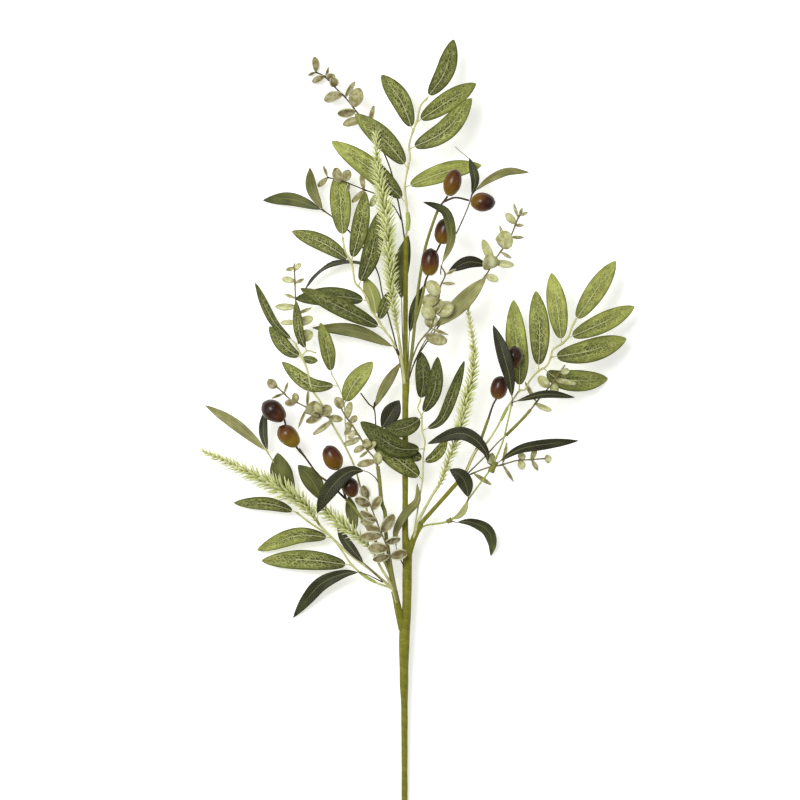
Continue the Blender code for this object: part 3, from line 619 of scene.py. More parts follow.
@dataclass(frozen=True)
class WrappedTape(Finish):
    """Stretched floral tape: slanting turns with a faint lap line, a waxy crinkle and a painted
    highlight across each turn.
    """

    base: Colour = srgb(120, 119, 34)
    lap: Colour = srgb(78, 78, 20)
    # painted highlight: the colour that each turn of tape lightens to across its width
    shine: Colour = srgb(152, 152, 62)
    pitch_mm: float = 9.0

    def build(self) -> Material:
        """Make the material."""
        material, graph, shader = new_material(self.name)
        wrap = graph.attribute("wrap")
        east, north, along_mm = graph.axes(wrap)
        turn = graph.math("DIVIDE", graph.math("ARCTAN2", north, east), FULL_TURN)
        laps = graph.math("DIVIDE", along_mm, self.pitch_mm)
        helix = graph.math("FRACT", graph.math("ADD", turn, laps))
        grain = graph.group(self.effects.grain, vector=wrap, low=0.84, high=1.14)
        dye = self.dye(graph, wrap, (0.8, 0.8, 0.05), 0.86, 1.12)
        # painted highlight: each turn lightens from the base colour towards the shine colour
        colour = graph.mix(graph.span(helix, 0.2, 0.9, 0.05, 0.28), self.base, self.shine)
        lap = graph.most(graph.span(helix, 0.0, 0.1, 1.0, 0.0), graph.span(helix, 0.97, 1.0))
        colour = graph.mix(graph.times(lap, 0.24), colour, self.lap)
        colour = graph.shade(graph.shade(colour, grain["Value"]), dye)
        height = graph.math("MULTIPLY_ADD", grain["Height"], 0.35, helix)
        self.wire(graph, shader, colour, height, 0.00012, self.satin(graph, grain["Height"], 0.15))
        return material


@dataclass(frozen=True)
class TwigSkin(Finish):
    """Moulded twig: one colour with darker lengthwise streaks."""

    base: Colour = srgb(196, 198, 138)
    dark: Colour = srgb(142, 142, 78)

    def build(self) -> Material:
        """Make the material."""
        material, graph, shader = new_material(self.name)
        wrap = graph.attribute("wrap")
        grain = graph.group(self.effects.grain, vector=wrap, low=0.0, high=1.0)
        dye = self.dye(graph, wrap, (0.5, 0.5, 0.12), 0.82, 1.12)
        streaks = graph.times(grain["Value"], 0.55)
        colour = graph.shade(graph.mix(streaks, self.base, self.dark), dye)
        self.wire(graph, shader, colour, grain["Height"], 0.00012,
                  self.satin(graph, grain["Height"], 0.15))
        return material


class LeafShape(Enum):
    """Outline of a blade, as fullness over the share of its length."""

    VEINED = "veined"
    OLIVE = "olive"
    ROUND = "round"

    def fullness(self, share: float) -> float:
        """Half width over the widest half width, from 0 at the base to 0 at the tip."""
        skew, at_base, at_tip = {"veined": (0.93, 0.46, 0.64), "olive": (1.02, 0.7, 0.8),
                                 "round": (1.0, 0.5, 0.5)}[self.value]
        bluntness = at_base + (at_tip - at_base) * share
        return max(math.sin(math.pi * share ** skew), 0.0) ** bluntness


class TwigCoat(Enum):
    """Which finish a twig wears."""

    CREAM = 0
    BARK = 1
    GREEN = 2
    GREY = 3
    LEAFY = 4


@dataclass
class Route:
    """A smooth line through given points, read by share of its length."""

    points: Sequence[Vector]
    steps: int = 14
    line: list[Vector] = field(init=False)
    travel: list[float] = field(init=False)

    def __post_init__(self) -> None:
        """Walk the curve once."""
        stops = list(self.points)
        padded = [2 * stops[0] - stops[1], *stops, 2 * stops[-1] - stops[-2]]
        self.line = [stops[0]]
        for p0, p1, p2, p3 in zip(padded, padded[1:], padded[2:], padded[3:]):
            for step in range(1, self.steps + 1):
                t = step / self.steps
                bend = (2 * p0 - 5 * p1 + 4 * p2 - p3) * t * t
                ease = (3 * p1 - p0 - 3 * p2 + p3) * t ** 3
                self.line.append(0.5 * (2 * p1 + (p2 - p0) * t + bend + ease))
        self.travel = [0.0]
        for here, there in zip(self.line, self.line[1:]):
            self.travel.append(self.travel[-1] + (there - here).length)

    @property
    def length(self) -> float:
        """Whole length in metres."""
        return self.travel[-1]

    def at(self, share: float) -> Vector:
        """The point at a share of the length."""
        goal = min(max(share, 0.0), 1.0) * self.length
        index = min(bisect_right(self.travel, goal), len(self.line) - 1) - 1
        part = (goal - self.travel[index]) / max(self.travel[index + 1] - self.travel[index], 1e-9)
        return self.line[index].lerp(self.line[index + 1], part)

    def heading(self, share: float) -> Vector:
        """Unit direction at a share of the length."""
        return (self.at(share + 0.015) - self.at(share - 0.015)).normalized()

    def nearest_share(self, spot: Vector) -> float:
        """Share of the length whose point lies closest to the spot."""
        index = min(range(len(self.line)), key=lambda i: (self.line[i] - spot).length_squared)
        return self.travel[index] / self.length

    def frames(self, count: int) -> list[Matrix]:
        """Frames that travel along the route with little twist, Z pointing ahead.

        Args:
            count: How many frames, the ends included.

        Returns:
            One matrix for each station.
        """
        across = UP.cross(self.heading(0.0)).normalized()
        found = []
        for number in range(count):
            share = number / (count - 1)
            ahead = self.heading(share)
            across = (across - ahead * across.dot(ahead)).normalized()
            over = ahead.cross(across)
            turn = Matrix((across, over, ahead)).transposed().to_4x4()
            found.append(Matrix.Translation(self.at(share)) @ turn)
        return found


def bracket(shares: Sequence[float], share: float) -> tuple[int, float]:
    """Find the stretch between two listed shares that a share falls in.

    Args:
        shares: Rising shares of the listed points.
        share: The share to look up.

    Returns:
        The stretch's number and the part of it that is passed, from 0 to 1.
    """
    index = min(max(bisect_right(shares, share) - 1, 0), len(shares) - 2)
    part = (share - shares[index]) / max(shares[index + 1] - shares[index], 1e-6)
    return index, min(max(part, 0.0), 1.0)


@dataclass
class Bench:
    """Turns drawing millimetres into metres in the frame of the CAD model."""

    shift: Vector

    @classmethod
    def from_fruit(cls, node: str, centre: Point) -> "Bench":
        """Line the drawing up by one fruit.

        Args:
            node: The CAD node of the fruit.
            centre: The fruit's centre on the drawing.

        Returns:
            The bench.
        """
        low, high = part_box(node)
        return cls((low + high) * 0.5 - Vector(centre) * MM)

    def place(self, point: Sequence[float]) -> Vector:
        """One drawing point in the frame."""
        return Vector(point[:3]) * MM + self.shift

    def route(self, points: Iterable[Sequence[float]]) -> Route:
        """A smooth route through drawing points."""
        return Route([self.place(point) for point in points])


class Piece:
    """One visible piece: gathers its mesh, then hands it to the frame."""

    def __init__(self, name: str, slot: str, nodes: Sequence[str]) -> None:
        """Start an empty piece.

        Args:
            name: The object's name.
            slot: The record's material slot; stored but not used.
            nodes: CAD nodes that it stands for.
        """
        self.name, self.slot, self.nodes = name, slot, tuple(nodes)
        self.chance = random.Random(name)
        self.bm = bmesh.new()

    def layer(self, label: str) -> Any:
        """The vector attribute of that name, made at first use."""
        layers = self.bm.verts.layers.float_vector
        return layers.get(label) or layers.new(label)

    def finish(self, materials: Sequence[Material], thickness: float = 0.0,
               back: int = 0) -> bpy.types.Object:
        """Write the mesh, give it its materials, and let it ride.

        Args:
            materials: Finishes in slot order.
            thickness: Wall in metres for open blades, 0 for closed shapes.
            back: How many slots further the back of a blade takes its finish from.

        Returns:
            The finished object.
        """
        mesh = bpy.data.meshes.new(self.name)
        if not thickness:
            bmesh.ops.recalc_face_normals(self.bm, faces=self.bm.faces)
        self.bm.to_mesh(mesh)
        self.bm.free()
        mesh.shade_smooth()
        for material in materials:
            mesh.materials.append(material)
        obj = put(self.name, mesh)
        if thickness:
            wall = obj.modifiers.new("cloth_wall", "SOLIDIFY")
            wall.thickness = thickness
            wall.offset = 0.0
            wall.material_offset = back
        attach(obj, BODY)
        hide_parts(*self.nodes)
        LOG.info("%s: %d faces", self.name, len(mesh.polygons))
        return obj


@dataclass(frozen=True)
class Blade:
    """One leaf blade along a route: width and roll, its tone from base to tip, and its folds."""

    width: float
    roll: float
    tone: tuple[float, float]
    shape: LeafShape
    fold: float = 0.10
    wave: float = 0.5
    start: float = 0.04
    columns: int = 10
    rows: int = 28
    crowding: float = 1.25
    ridge: float = 0.12
    ridge_width: float = 0.5

    def add(self, piece: Piece, route: Route) -> None:
        """Grow the blade in a piece from a flat grid.

        Args:
            piece: The piece that takes the blade.
            route: The blade's centre line.
        """
        blade, cloth = piece.layer("blade"), piece.layer("cloth")
        seed = piece.chance.uniform(0.0, 400.0)
        phase = piece.chance.uniform(0.0, FULL_TURN)
        ripple = piece.chance.uniform(1.6, 2.6)
        grid = bmesh.ops.create_grid(piece.bm, x_segments=self.columns, y_segments=self.rows,
                                     size=0.5)
        half_width = 0.5 * self.width * MM
        ends: tuple[list[Any], list[Any]] = ([], [])
        for vert in grid["verts"]:
            spread, way = 2.0 * vert.co.x, vert.co.y + 0.5
            across = math.copysign(abs(spread) ** self.crowding, spread)
            along = 0.5 - 0.5 * math.cos(math.pi * way)
            if way < 1e-6 or way > 1.0 - 1e-6:
                ends[way > 0.5].append(vert)
            share = self.start + (1.0 - self.start) * along
            fullness = self.shape.fullness(along)
            half = half_width * fullness
            ahead = route.heading(share)
            rolled = Matrix.Rotation(math.radians(self.roll), 3, ahead)
            side = rolled @ ahead.cross(UP).normalized()
            over = side.cross(ahead)
            swing = math.sin(FULL_TURN * ripple * along + phase + 1.3 * across)
            off_rib = across * half / (self.ridge_width * MM)
            lift = self.fold * half * abs(across) ** 1.2
            lift += self.wave * MM * swing * across ** 2 * fullness
            lift += self.ridge * MM * math.exp(-off_rib ** 2) * (1.0 - along)
            vert.co = route.at(share) + side * half * across + over * lift
            tone = self.tone[0] + (self.tone[1] - self.tone[0]) * along
            vert[blade] = (across, along, tone)
            vert[cloth] = (across * half / MM, along * route.length / MM, seed)
        for end, share in zip(ends, (self.start, 1.0)):
            bmesh.ops.pointmerge(piece.bm, verts=end, merge_co=route.at(share))


def extend(bm: bmesh.types.BMesh, edges: Sequence[Any]) -> tuple[list[Any], list[Any]]:
    """Extrude a ring of edges where it stands.

    Args:
        bm: The mesh.
        edges: Edges of its last ring.

    Returns:
        Vertices and edges of the new ring.
    """
    grown = bmesh.ops.extrude_edge_only(bm, edges=edges)["geom"]
    return ([item for item in grown if isinstance(item, bmesh.types.BMVert)],
            [item for item in grown if isinstance(item, bmesh.types.BMEdge)])


@dataclass(frozen=True)
class Tube:
    """A round tube drawn by extruding a circle along a route."""

    sides: int = 10
    spacing: float = 2.0

    def add(self, piece: Piece, route: Route, radius: Radius,
            coat: TwigCoat = TwigCoat.CREAM) -> None:
        """Draw the tube in a piece.

        Args:
            piece: The piece that takes the tube.
            route: Its centre line.
            radius: Radius in metres from the share of the length and the turn round the tube.
            coat: Finish of its faces.
        """
        wrap = piece.layer("wrap")
        seed = piece.chance.uniform(0.0, 50.0)
        count = max(3, int(route.length / (self.spacing * MM)) + 1)
        frames = route.frames(count)
        before = set(piece.bm.faces)
        ring = bmesh.ops.create_circle(piece.bm, cap_ends=True, segments=self.sides, radius=1.0,
                                       matrix=frames[0])["verts"]
        edges = list({edge for vert in ring for edge in vert.link_edges})
        self.settle(ring, frames[0], 0.0, route, radius, wrap, seed)
        for number in range(1, count):
            ring, edges = extend(piece.bm, edges)
            bmesh.ops.transform(piece.bm, verts=ring,
                                matrix=frames[number] @ frames[number - 1].inverted())
            self.settle(ring, frames[number], number / (count - 1), route, radius, wrap, seed)
        bmesh.ops.edgeloop_fill(piece.bm, edges=edges)
        for face in set(piece.bm.faces) - before:
            face.material_index = coat.value

    @staticmethod
    def settle(ring: Sequence[Any], frame_at: Matrix, share: float, route: Route,
               radius: Radius, wrap: Any, seed: float) -> None:
        """Bring one ring to its radius and note its place for the finish.

        Args:
            ring: Vertices of the ring.
            frame_at: The ring's frame.
            share: Share of the length.
            route: Centre line.
            radius: Radius function.
            wrap: The attribute layer.
            seed: Offset that keeps twigs from looking alike.
        """
        inverse = frame_at.inverted()
        for vert in ring:
            local = inverse @ vert.co
            turn = math.atan2(local.y, local.x) / FULL_TURN
            east, north = math.cos(turn * FULL_TURN), math.sin(turn * FULL_TURN)
            size = radius(share, turn)
            vert.co = frame_at @ Vector((size * east, size * north, 0.0))
            vert[wrap] = (east, north, share * route.length / MM + seed)


def knobbed(size: float, knobs: Sequence[tuple[float, float, float]], length: float,
            taper: float = 0.0) -> Radius:
    """Radius of a twig that thickens at its joints.

    Args:
        size: Plain radius in millimetres.
        knobs: Share, extra radius and half width of each knob, in millimetres.
        length: Length of the twig in metres.
        taper: Share of the radius lost at the far end.

    Returns:
        The radius function.
    """
    def radius(share: float, turn: float) -> float:
        """Radius in metres at one place."""
        total = size * (1.0 - taper * share)
        for place, extra, spread in knobs:
            away = (share - place) * length / MM / spread
            total += extra * math.exp(-away * away)
        oval = 1.0 + 0.05 * math.sin(2 * FULL_TURN * turn + 9.0 * share)
        return total * oval * MM

    return radius


# ---- sizes (mm) --------------------------------------------------------------------------------
CREAM, BARK, GREEN, GREY, LEAFY = TwigCoat
STALK = 0.6
WIRE = 0.72
TWIG = 1.0
TAPED = 1.5
LEAF_WALL = 0.42
ROUND_WALL = 0.7
TAPE_STEP = 0.07
THIN_LEAF = 4.5
BARE_BASE = {LeafShape.VEINED: 0.075, LeafShape.OLIVE: 0.03, LeafShape.ROUND: 0.02}
BENCH_FRUIT = "olive_top_1"
BENCH_CENTRE = (43, 586, 56)
TRUNK = (
    (-0.4, 0, 2.75, 2.75), (-0.4, 60, 7.6, 2.75), (-0.5, 108, 11, 3.0), (-0.9, 140, 13.5, 4.0),
    (-0.5, 176, 16.5, 4.9), (1.5, 200, 18, 4.1), (2, 236, 21, 4.3), (2, 256, 22.5, 4.4),
    (0.3, 268, 23.5, 2.9), (0.2, 300, 26, 2.6), (0.3, 380, 31.5, 2.7), (0.8, 400, 33, 3.2),
    (0.8, 415, 34, 3.2), (0.5, 424, 35, 2.1), (0.5, 470, 38, 2.1), (1, 536, 41, 2.1),
)
LEFT_FORK = ((-2.4, 182, 17.5, 3.4), (-5.6, 198, 19, 3.5), (-9.6, 217, 21, 3.0))
RIGHT_FORK = ((3, 248, 22.5, 2.8), (7, 262, 24.5, 2.8), (14, 278, 27, 2.8))
RIGHT_FRUIT_WIRE = (
    (14, 278, 27, 1.9), (30, 296, 31, 1.9), (45, 313, 34.5, 1.9), (53.5, 322.5, 37, 1.9),
)

# ---- leaf sprigs: twigs are (coat, radius, route); leaves are (width, roll in degrees, tone at
# base and tip, route)
SPRIGS = {
    "top_leaf_sprig": {
        "slot": "veined_leaf",
        "twigs": (
            (CREAM, TWIG, ((1, 537.5, 41), (3, 550, 43), (1.5, 564, 44), (0, 582, 44),
             (3, 600, 44), (4.5, 607, 44), (4, 620, 43), (9, 636, 42), (11, 641, 42),
             (14, 654, 41), (20, 661, 40))),
        ),
        "leaves": (
            (17, 0, (0.44, 0.42), ((20, 659, 40), (35.5, 684, 38), (44, 715, 24))),
            (18, 6, (0.52, 0.5), ((11, 639, 42), (37, 657, 42), (64, 675, 30))),
            (19, -6, (0.56, 0.54), ((6, 615, 44), (36, 631.5, 47), (60, 661, 38))),
            (17.5, 0, (0.5, 0.5), ((7, 631, 42), (-3.5, 658.5, 40), (-21, 683, 24))),
            (19, 0, (0.44, 0.56), ((4, 598, 44), (-18, 623, 41), (-45, 647, 38))),
            # painted shade: this leaf's tone rises from base to tip, its darker base standing for
            # the top plume's shadow
            (20, 8, (0.42, 0.9), ((0, 566, 44), (-14, 582, 41), (-37.5, 602.5, 37),
             (-66, 623, 26))),
            (17, 4, (0.92, 0.96), ((0, 581, 44), (20, 589, 43), (44, 597, 40), (69, 601, 34))),
        ),
    },
    "upper_left_leaf_sprig": {
        "slot": "veined_leaf",
        "twigs": (
            (CREAM, TWIG, ((-4.5, 428, 34), (-12, 444, 35), (-18, 452, 36), (-25, 463, 36),
             (-31, 471, 36), (-34, 481, 36), (-40, 490, 36), (-45, 496, 36), (-48, 513, 36),
             (-54, 524, 36), (-56, 536, 35))),
        ),
        "leaves": (
            (19, 0, (0.62, 0.62), ((-55, 534, 35), (-58, 566, 31), (-60.5, 596, 12))),
            (15.5, 0, (0.5, 0.5), ((-46, 515, 36), (-41, 542, 38), (-35.5, 577, 36))),
            (17, 0, (0.42, 0.42), ((-41, 493, 36), (-31, 519, 37), (-22.5, 560, 38))),
            (15, 0, (0.46, 0.46), ((-50, 513, 36), (-72, 530, 34), (-102, 542, 22))),
            (16, -10, (0.3, 0.3), ((-20, 453, 36), (-56, 472, 40), (-94, 490, 35))),
            (17, 10, (0.3, 0.3), ((-34, 479, 36), (-62, 483, 33), (-99, 481, 28))),
            (14, 190, (0.5, 0.5), ((-26, 465, 36), (-28, 480, 34), (-36, 500, 30))),
            (10, 0, (0.3, 0.3), ((-23, 461, 36), (-19, 473, 37), (-13, 488, 38))),
        ),
    },
    "low_left_leaf_sprig": {
        "slot": "veined_leaf",
        "twigs": (
            (CREAM, TWIG, ((-12.5, 219.5, 17), (-27, 225, 16.5), (-41, 234, 17), (-50, 243, 17),
             (-58, 255, 16.5), (-66, 265, 16), (-76, 272, 16), (-88, 280, 15), (-98, 288, 14))),
        ),
        "leaves": (
            (12, 0, (0.34, 0.4), ((-98, 288, 14), (-122, 295.5, 14), (-155, 296.5, 8))),
            (15, 0, (0.36, 0.66), ((-66, 265, 16), (-97.5, 267, 16), (-134, 253.5, 6))),
            (18, 0, (0.42, 0.64), ((-48, 240, 17), (-88, 245, 15), (-130, 244, 5))),
        ),
    },
    "high_left_leaf_sprig": {
        "slot": "veined_leaf",
        "twigs": (
            (CREAM, TWIG, ((-9.5, 221.5, 17.2), (-26, 262, 20), (-38, 303, 24), (-45, 328, 26),
             (-53, 346, 29), (-62, 362, 32), (-68, 373, 34), (-76, 388, 35), (-84, 400, 36),
             (-88, 417, 36), (-93, 429, 36), (-99, 441, 35))),
            (CREAM, STALK, ((-53, 346, 29), (-54, 375, 33), (-56, 392, 35), (-61, 404, 36),
             (-66, 413, 36))),
            (CREAM, STALK, ((-93, 429, 36), (-88, 434, 37), (-80, 432, 38))),
        ),
        "leaves": (
            (8, 0, (0.35, 0.35), ((-99, 441, 35), (-119, 461, 27), (-136, 496, 0.6))),
            (13, 0, (0.4, 0.4), ((-93, 428, 36), (-106.5, 436, 32), (-122.5, 456, 24))),
            (9, 0, (0.35, 0.35), ((-89, 435, 37), (-95, 450, 40), (-98, 479, 39))),
            (15, 30, (0.55, 0.55), ((-66, 413, 36), (-70, 435, 38), (-76, 459, 38))),
            (13, 0, (0.45, 0.45), ((-62, 402, 36), (-86, 404, 36), (-111, 424, 26))),
            (17, 0, (0.8, 0.8), ((-55, 386, 34), (-46, 404, 40), (-29, 424, 40))),
            (7, 0, (0.4, 0.4), ((-93, 428, 36), (-87, 426, 36.5), (-78.5, 425, 36))),
        ),
    },
    "centre_leaf_sprig": {
        "slot": "veined_leaf",
        "twigs": (
            (CREAM, WIRE, ((9.5, 279, 24.5), (13, 300, 28), (16, 320, 33), (16.5, 340, 37),
             (18, 352, 38), (15.5, 362, 38), (15, 375, 37), (11.5, 382, 36), (14, 389, 36))),
        ),
        "leaves": (
            (14.5, 0, (0.28, 0.28), ((14.5, 388.5, 36), (16.5, 408, 38), (14.5, 433, 35))),
            (13.5, 0, (0.3, 0.3), ((15, 376, 37), (26, 397, 40), (29.5, 428.5, 38))),
            (10.5, 0, (0.3, 0.3), ((15, 362, 38), (32.5, 372, 40), (44, 398, 36),
             (53.5, 425, 31))),
            (16.5, 10, (0.3, 0.3), ((15, 374, 37), (2, 365.5, 40), (-20, 361, 39))),
            (19, -8, (0.25, 0.25), ((17.5, 346, 38), (-8, 347, 43), (-40, 370, 42))),
            (19, 0, (0.48, 0.46), ((16, 319, 33), (-4, 334, 38), (-31, 356, 37))),
            (10, 0, (0.5, 0.5), ((16, 334, 36), (28, 340, 32), (38, 354, 27))),
            (12, 0, (0.2, 0.24), ((17, 336, 36.5), (7, 340, 36), (-6, 344, 36))),
        ),
    },
    "right_leaf_sprig": {
        "slot": "veined_leaf",
        "twigs": (
            (CREAM, TWIG, ((56, 327, 42), (63, 343, 43.5), (73, 351, 44), (82, 364, 44),
             (92, 383, 43), (97, 390, 43), (103, 398, 43), (108, 399, 43), (112, 407, 43),
             (120, 416, 43), (127, 420, 43), (131, 428, 42), (133, 435, 42), (142, 441, 42),
             (147, 447, 41), (150, 455, 41), (154, 463, 40))),
        ),
        "leaves": (
            (18, 0, (0.7, 0.76), ((152, 459, 40), (170.5, 486.5, 38), (190, 515, 26))),
            (18, 0, (0.68, 0.76), ((146, 445, 41), (176.5, 458.5, 36), (207, 474, 22))),
            (21, 0, (0.58, 0.66), ((131, 428, 42), (164.5, 433.5, 38), (200, 445, 20))),
            (19.5, 0, (0.58, 0.6), ((125, 417, 43), (138, 409, 33), (160, 407, 19),
             (184, 409, 0.6))),
            (18, 0, (0.7, 0.9), ((142, 439, 42), (137, 471, 42), (132, 504, 32))),
            (18.5, 0, (0.5, 0.66), ((121, 415, 43), (121, 450, 40), (118, 488, 30))),
            (19.5, 0, (0.7, 0.86), ((102, 398, 43), (103, 420, 35), (100, 446, 30),
             (98, 480, 24))),
        ),
    },
    "top_dark_leaf_pair": {
        "slot": "dark_leaf",
        "twigs": (
            (BARK, WIRE, ((-6, 431, 31), (-12, 455, 30), (-20, 484, 28), (-26, 508, 27),
             (-45, 536, 27), (-62, 552, 27), (-74, 561, 26))),
        ),
        "leaves": (
            (12, 0, (0.3, 0.34), ((-74, 561, 26), (-102, 571, 19), (-129, 571, 0.6))),
            (10, 0, (0.66, 0.6), ((-74, 561, 26), (-84, 580, 24), (-86, 600, 14))),
            (9, 62, (0.0, 0.05), ((-27, 510, 27), (-48, 514, 22), (-66, 512, 19), (-81, 502, 15),
             (-91, 489, 11))),
        ),
    },
}
FRUIT_STEMS = {
    "top_fruit_stem": (
        (GREEN, TAPED, ((5.5, 427, 36), (9, 460, 40), (12, 490, 42), (18, 525, 43), (26, 551, 46),
         (31, 563, 50))),
        (BARK, TWIG, ((31, 563, 50), (35, 568, 52), (38.2, 572.2, 54))),
        (BARK, TWIG, ((34, 567, 51.6), (45, 571, 53), (57.4, 568.5, 53))),
        (GREEN, TAPED, ((9, 460, 40), (14.5, 478, 45), (17.5, 492, 48))),
        (BARK, TWIG, ((17.5, 492, 48), (19.2, 498.6, 50.5), (21.8, 503.5, 52.6))),
        (BARK, TWIG, ((24, 514, 50), (28.6, 523.5, 52), (32.4, 531, 55))),
    ),
    "left_fruit_stem": (
        (GREEN, TAPED, ((-11.5, 222, 22.5), (-17, 245, 24.5), (-33, 273, 26), (-44, 290, 26),
         (-53, 300, 26))),
        (BARK, TWIG, ((-53, 300, 26), (-70, 316, 27), (-78, 322, 28), (-87, 334, 31),
         (-95.3, 346, 34))),
        (BARK, TWIG, ((-53, 300, 26), (-57, 313, 28), (-59.3, 325, 31.5), (-60.6, 328.6, 33.6))),
        (BARK, TWIG, ((-90, 338.5, 32), (-97, 346, 26.5), (-103, 356, 24.5), (-107, 366, 27),
         (-109, 373, 31.5))),
    ),
    "right_fruit_stem": (
        (GREEN, TAPED, ((54.8, 325, 38.5), (60, 337, 38.5), (67, 351, 39), (75, 373, 41.5))),
        (BARK, TWIG, ((75, 373, 41.5), (79, 385, 43), (81.2, 389.2, 43.8), (82.8, 392.5, 44))),
    ),
}
OLIVES = {
    "olive_top_1": ((42.5, 584, 56), 25, 15.5, -17, 8, -0.1),
    "olive_top_2": ((69.5, 567, 53), 22.5, 17, -92, 0, 0.16),
    "olive_top_3": ((35, 540.5, 56), 24, 17.5, -14, 4, 0.18),
    "olive_top_4": ((22.5, 513, 53), 25, 17, -4, 4, 0.1),
    "olive_left_1": ((-118, 379.5, 34), 25, 18.5, 52, 0, 0.34),
    "olive_left_2": ((-104.5, 357, 36), 24, 17.5, 44, 4, -0.3),
    "olive_left_3": ((-65, 337.5, 36), 24, 17.5, 26, 8, -0.14),
    # painted shade: olive_left_4 has a higher ripeness so that it reads darker, as it lies in
    # shadow
    "olive_left_4": ((-49, 311, 37), 19, 15, 20, 8, 0.4),
    "olive_right_1": ((84.5, 400.5, 44), 21.5, 16, -12, 4, 0.3),
    "olive_right_2": ((98, 428, 44), 20, 14.5, -4, 0, 0.46),
}
DARK_LEAVES = {
    "olive_leaf_top_2": (7.5, 0, (0.72, 0.8), ((63, 577.5, 40), (75.5, 587.5, 42), (92, 595, 38),
     (112, 595, 28))),
    "olive_leaf_top_3": (9.5, 20, (0.95, -0.1), ((33, 511, 61), (41, 533, 67), (37.5, 555, 68),
     (28.5, 562.5, 64), (16, 567, 56))),
    "olive_leaf_top_4": (11, 0, (0, 0), ((75, 511, 40), (57, 513.5, 45), (39, 505, 47))),
    "olive_leaf_top_5": (15, 0, (0.78, 0.9), ((27, 455, 44), (48, 474, 46), (73, 500, 42))),
    "olive_leaf_top_6": (9, 0, (0.25, 0.2), ((4, 450, 31), (9, 472, 32), (17, 493, 34))),
    "olive_leaf_top_7": (12, 0, (0.66, 0.5), ((-10, 437.5, 25.5), (-45, 452, 24), (-84, 455, 18))),
    "olive_leaf_top_8": (15, 0, (0.62, 0.58), ((-3, 480, 31), (-4, 506, 32), (3, 538, 34))),
    "olive_leaf_left_3": (20, 0, (0.4, 0.5), ((-100, 306, 20), (-111, 322, 22), (-115, 342, 22))),
    "olive_leaf_left_4": (17, 0, (0.36, 0.42), ((-75.5, 299, 20), (-83, 316, 22),
     (-96.5, 331, 22))),
    "olive_leaf_left_5": (15, 0, (0.04, 0.12), ((-36, 326, 44), (-48, 326, 48), (-60, 318, 49),
     (-71, 304, 47), (-79, 288, 43))),
    "olive_leaf_left_6": (9, 0, (0, 0.1), ((-37, 242.5, 29), (-47, 254, 27.6), (-56, 266, 24),
     (-61, 278, 21))),
    "olive_leaf_left_7": (11, 0, (0.5, 0.5), ((-44, 272, 22.2), (-48, 288, 21.5), (-51, 303, 19))),
    "olive_leaf_left_8": (13, 0, (0.08, 0.2), ((-41, 234, 19.3), (-56, 232.5, 19), (-75, 224, 16),
     (-88.5, 209.5, 9), (-101.5, 192, 0.6))),
    "olive_leaf_centre_1": (8, 0, (0.66, 0.7), ((-8, 257, 33), (-8, 272, 33), (1, 288, 33),
     (11, 299, 35), (11, 315, 33))),
    "olive_leaf_centre_2": (16, 0, (0, 0), ((-21, 364, 34.5), (-13.5, 376, 35), (-5, 389.5, 35))),
}
RIGHT_LEAVES = {
    "olive_leaf_right_1": (12.5, 0, (0, 0.06), ((96, 391.5, 52.5), (93.5, 411, 56),
     (86.5, 436, 56), (79, 457, 50))),
    "olive_leaf_right_2": (7, 0, (0.1, 0.1), ((99, 388.5, 51), (126, 395, 48), (153, 392, 38))),
    "olive_leaf_right_3": (9.5, 0, (0.04, 0.1), ((84, 334, 46), (102, 345, 44), (124, 349.5, 38),
     (157, 353, 24))),
    "olive_leaf_right_4": (12, 0, (0.04, 0.1), ((74.5, 333, 49), (72, 344, 52), (60, 356.5, 54),
     (45, 359.5, 53), (20, 350.3, 48))),
    "olive_leaf_right_5": (14, 0, (0.1, 0.1), ((57, 302, 36), (55, 313, 41), (50, 321.5, 44),
     (40, 327.5, 43))),
    "olive_leaf_right_6": (10.5, 0, (0, 0.5), ((46, 279.5, 29), (59.5, 279.5, 29), (73.5, 273, 21),
     (79, 261, 11), (78, 248, 0.6))),
}
WIRED_LEAVES = {
    "olive_leaf_pair_top": (
        (
            (BARK, 0.6, ((46, 539, 41), (52, 552, 40), (57, 564, 40), (60, 574, 40))),
            (GREY, 0.35, ((60, 601, 43), (57, 607, 42), (50, 613, 38), (45, 618, 34))),
        ),
        ((8, 0, (0.0, 0.2), ((60, 574, 42), (63, 588, 44), (58, 607, 43))),),
    ),
    "olive_leaf_pair_left": (
        ((CREAM, WIRE, ((-118, 333, 26), (-120, 336, 27), (-124, 343, 28))),),
        (
            (10, 0, (0.8, 0.76), ((-124, 343, 28), (-152, 367, 24), (-181, 385, 12))),
            (8, 0, (0.14, 0.2), ((-124, 343, 28), (-128, 362, 23), (-126, 382, 20))),
        ),
    ),
    "centre_left_leaf": (
        (
            (BARK, WIRE, ((-26, 347, 30), (-26.5, 371, 30), (-28, 382, 31), (-32.5, 386, 32),
             (-40, 396, 33))),
            (BARK, WIRE, ((-28, 382, 31), (-27.5, 388, 33))),
        ),
        ((9, 0, (0.7, 0.75), ((-28, 382, 31), (-17, 403.5, 29), (-3.5, 424, 26))),),
    ),
    "right_leaf_wire": (
        (
            (LEAFY, 0.9, ((18.5, 276.5, 27), (38, 280, 28), (50, 289, 30), (57, 300, 33),
             (67, 314, 39), (77, 328, 46), (84, 343, 48), (89, 357, 49), (96, 388, 51))),
            (GREEN, 2.2, ((38, 279.8, 28), (42, 281.8, 28.7))),
            (GREEN, 3.0, ((77, 325, 45.3), (79, 329.5, 46), (81.5, 334, 46.8))),
        ),
        ((6, 0, (1.0, 0.9), ((42, 282, 29), (51, 287.5, 32), (57, 299, 34))),),
    ),
}
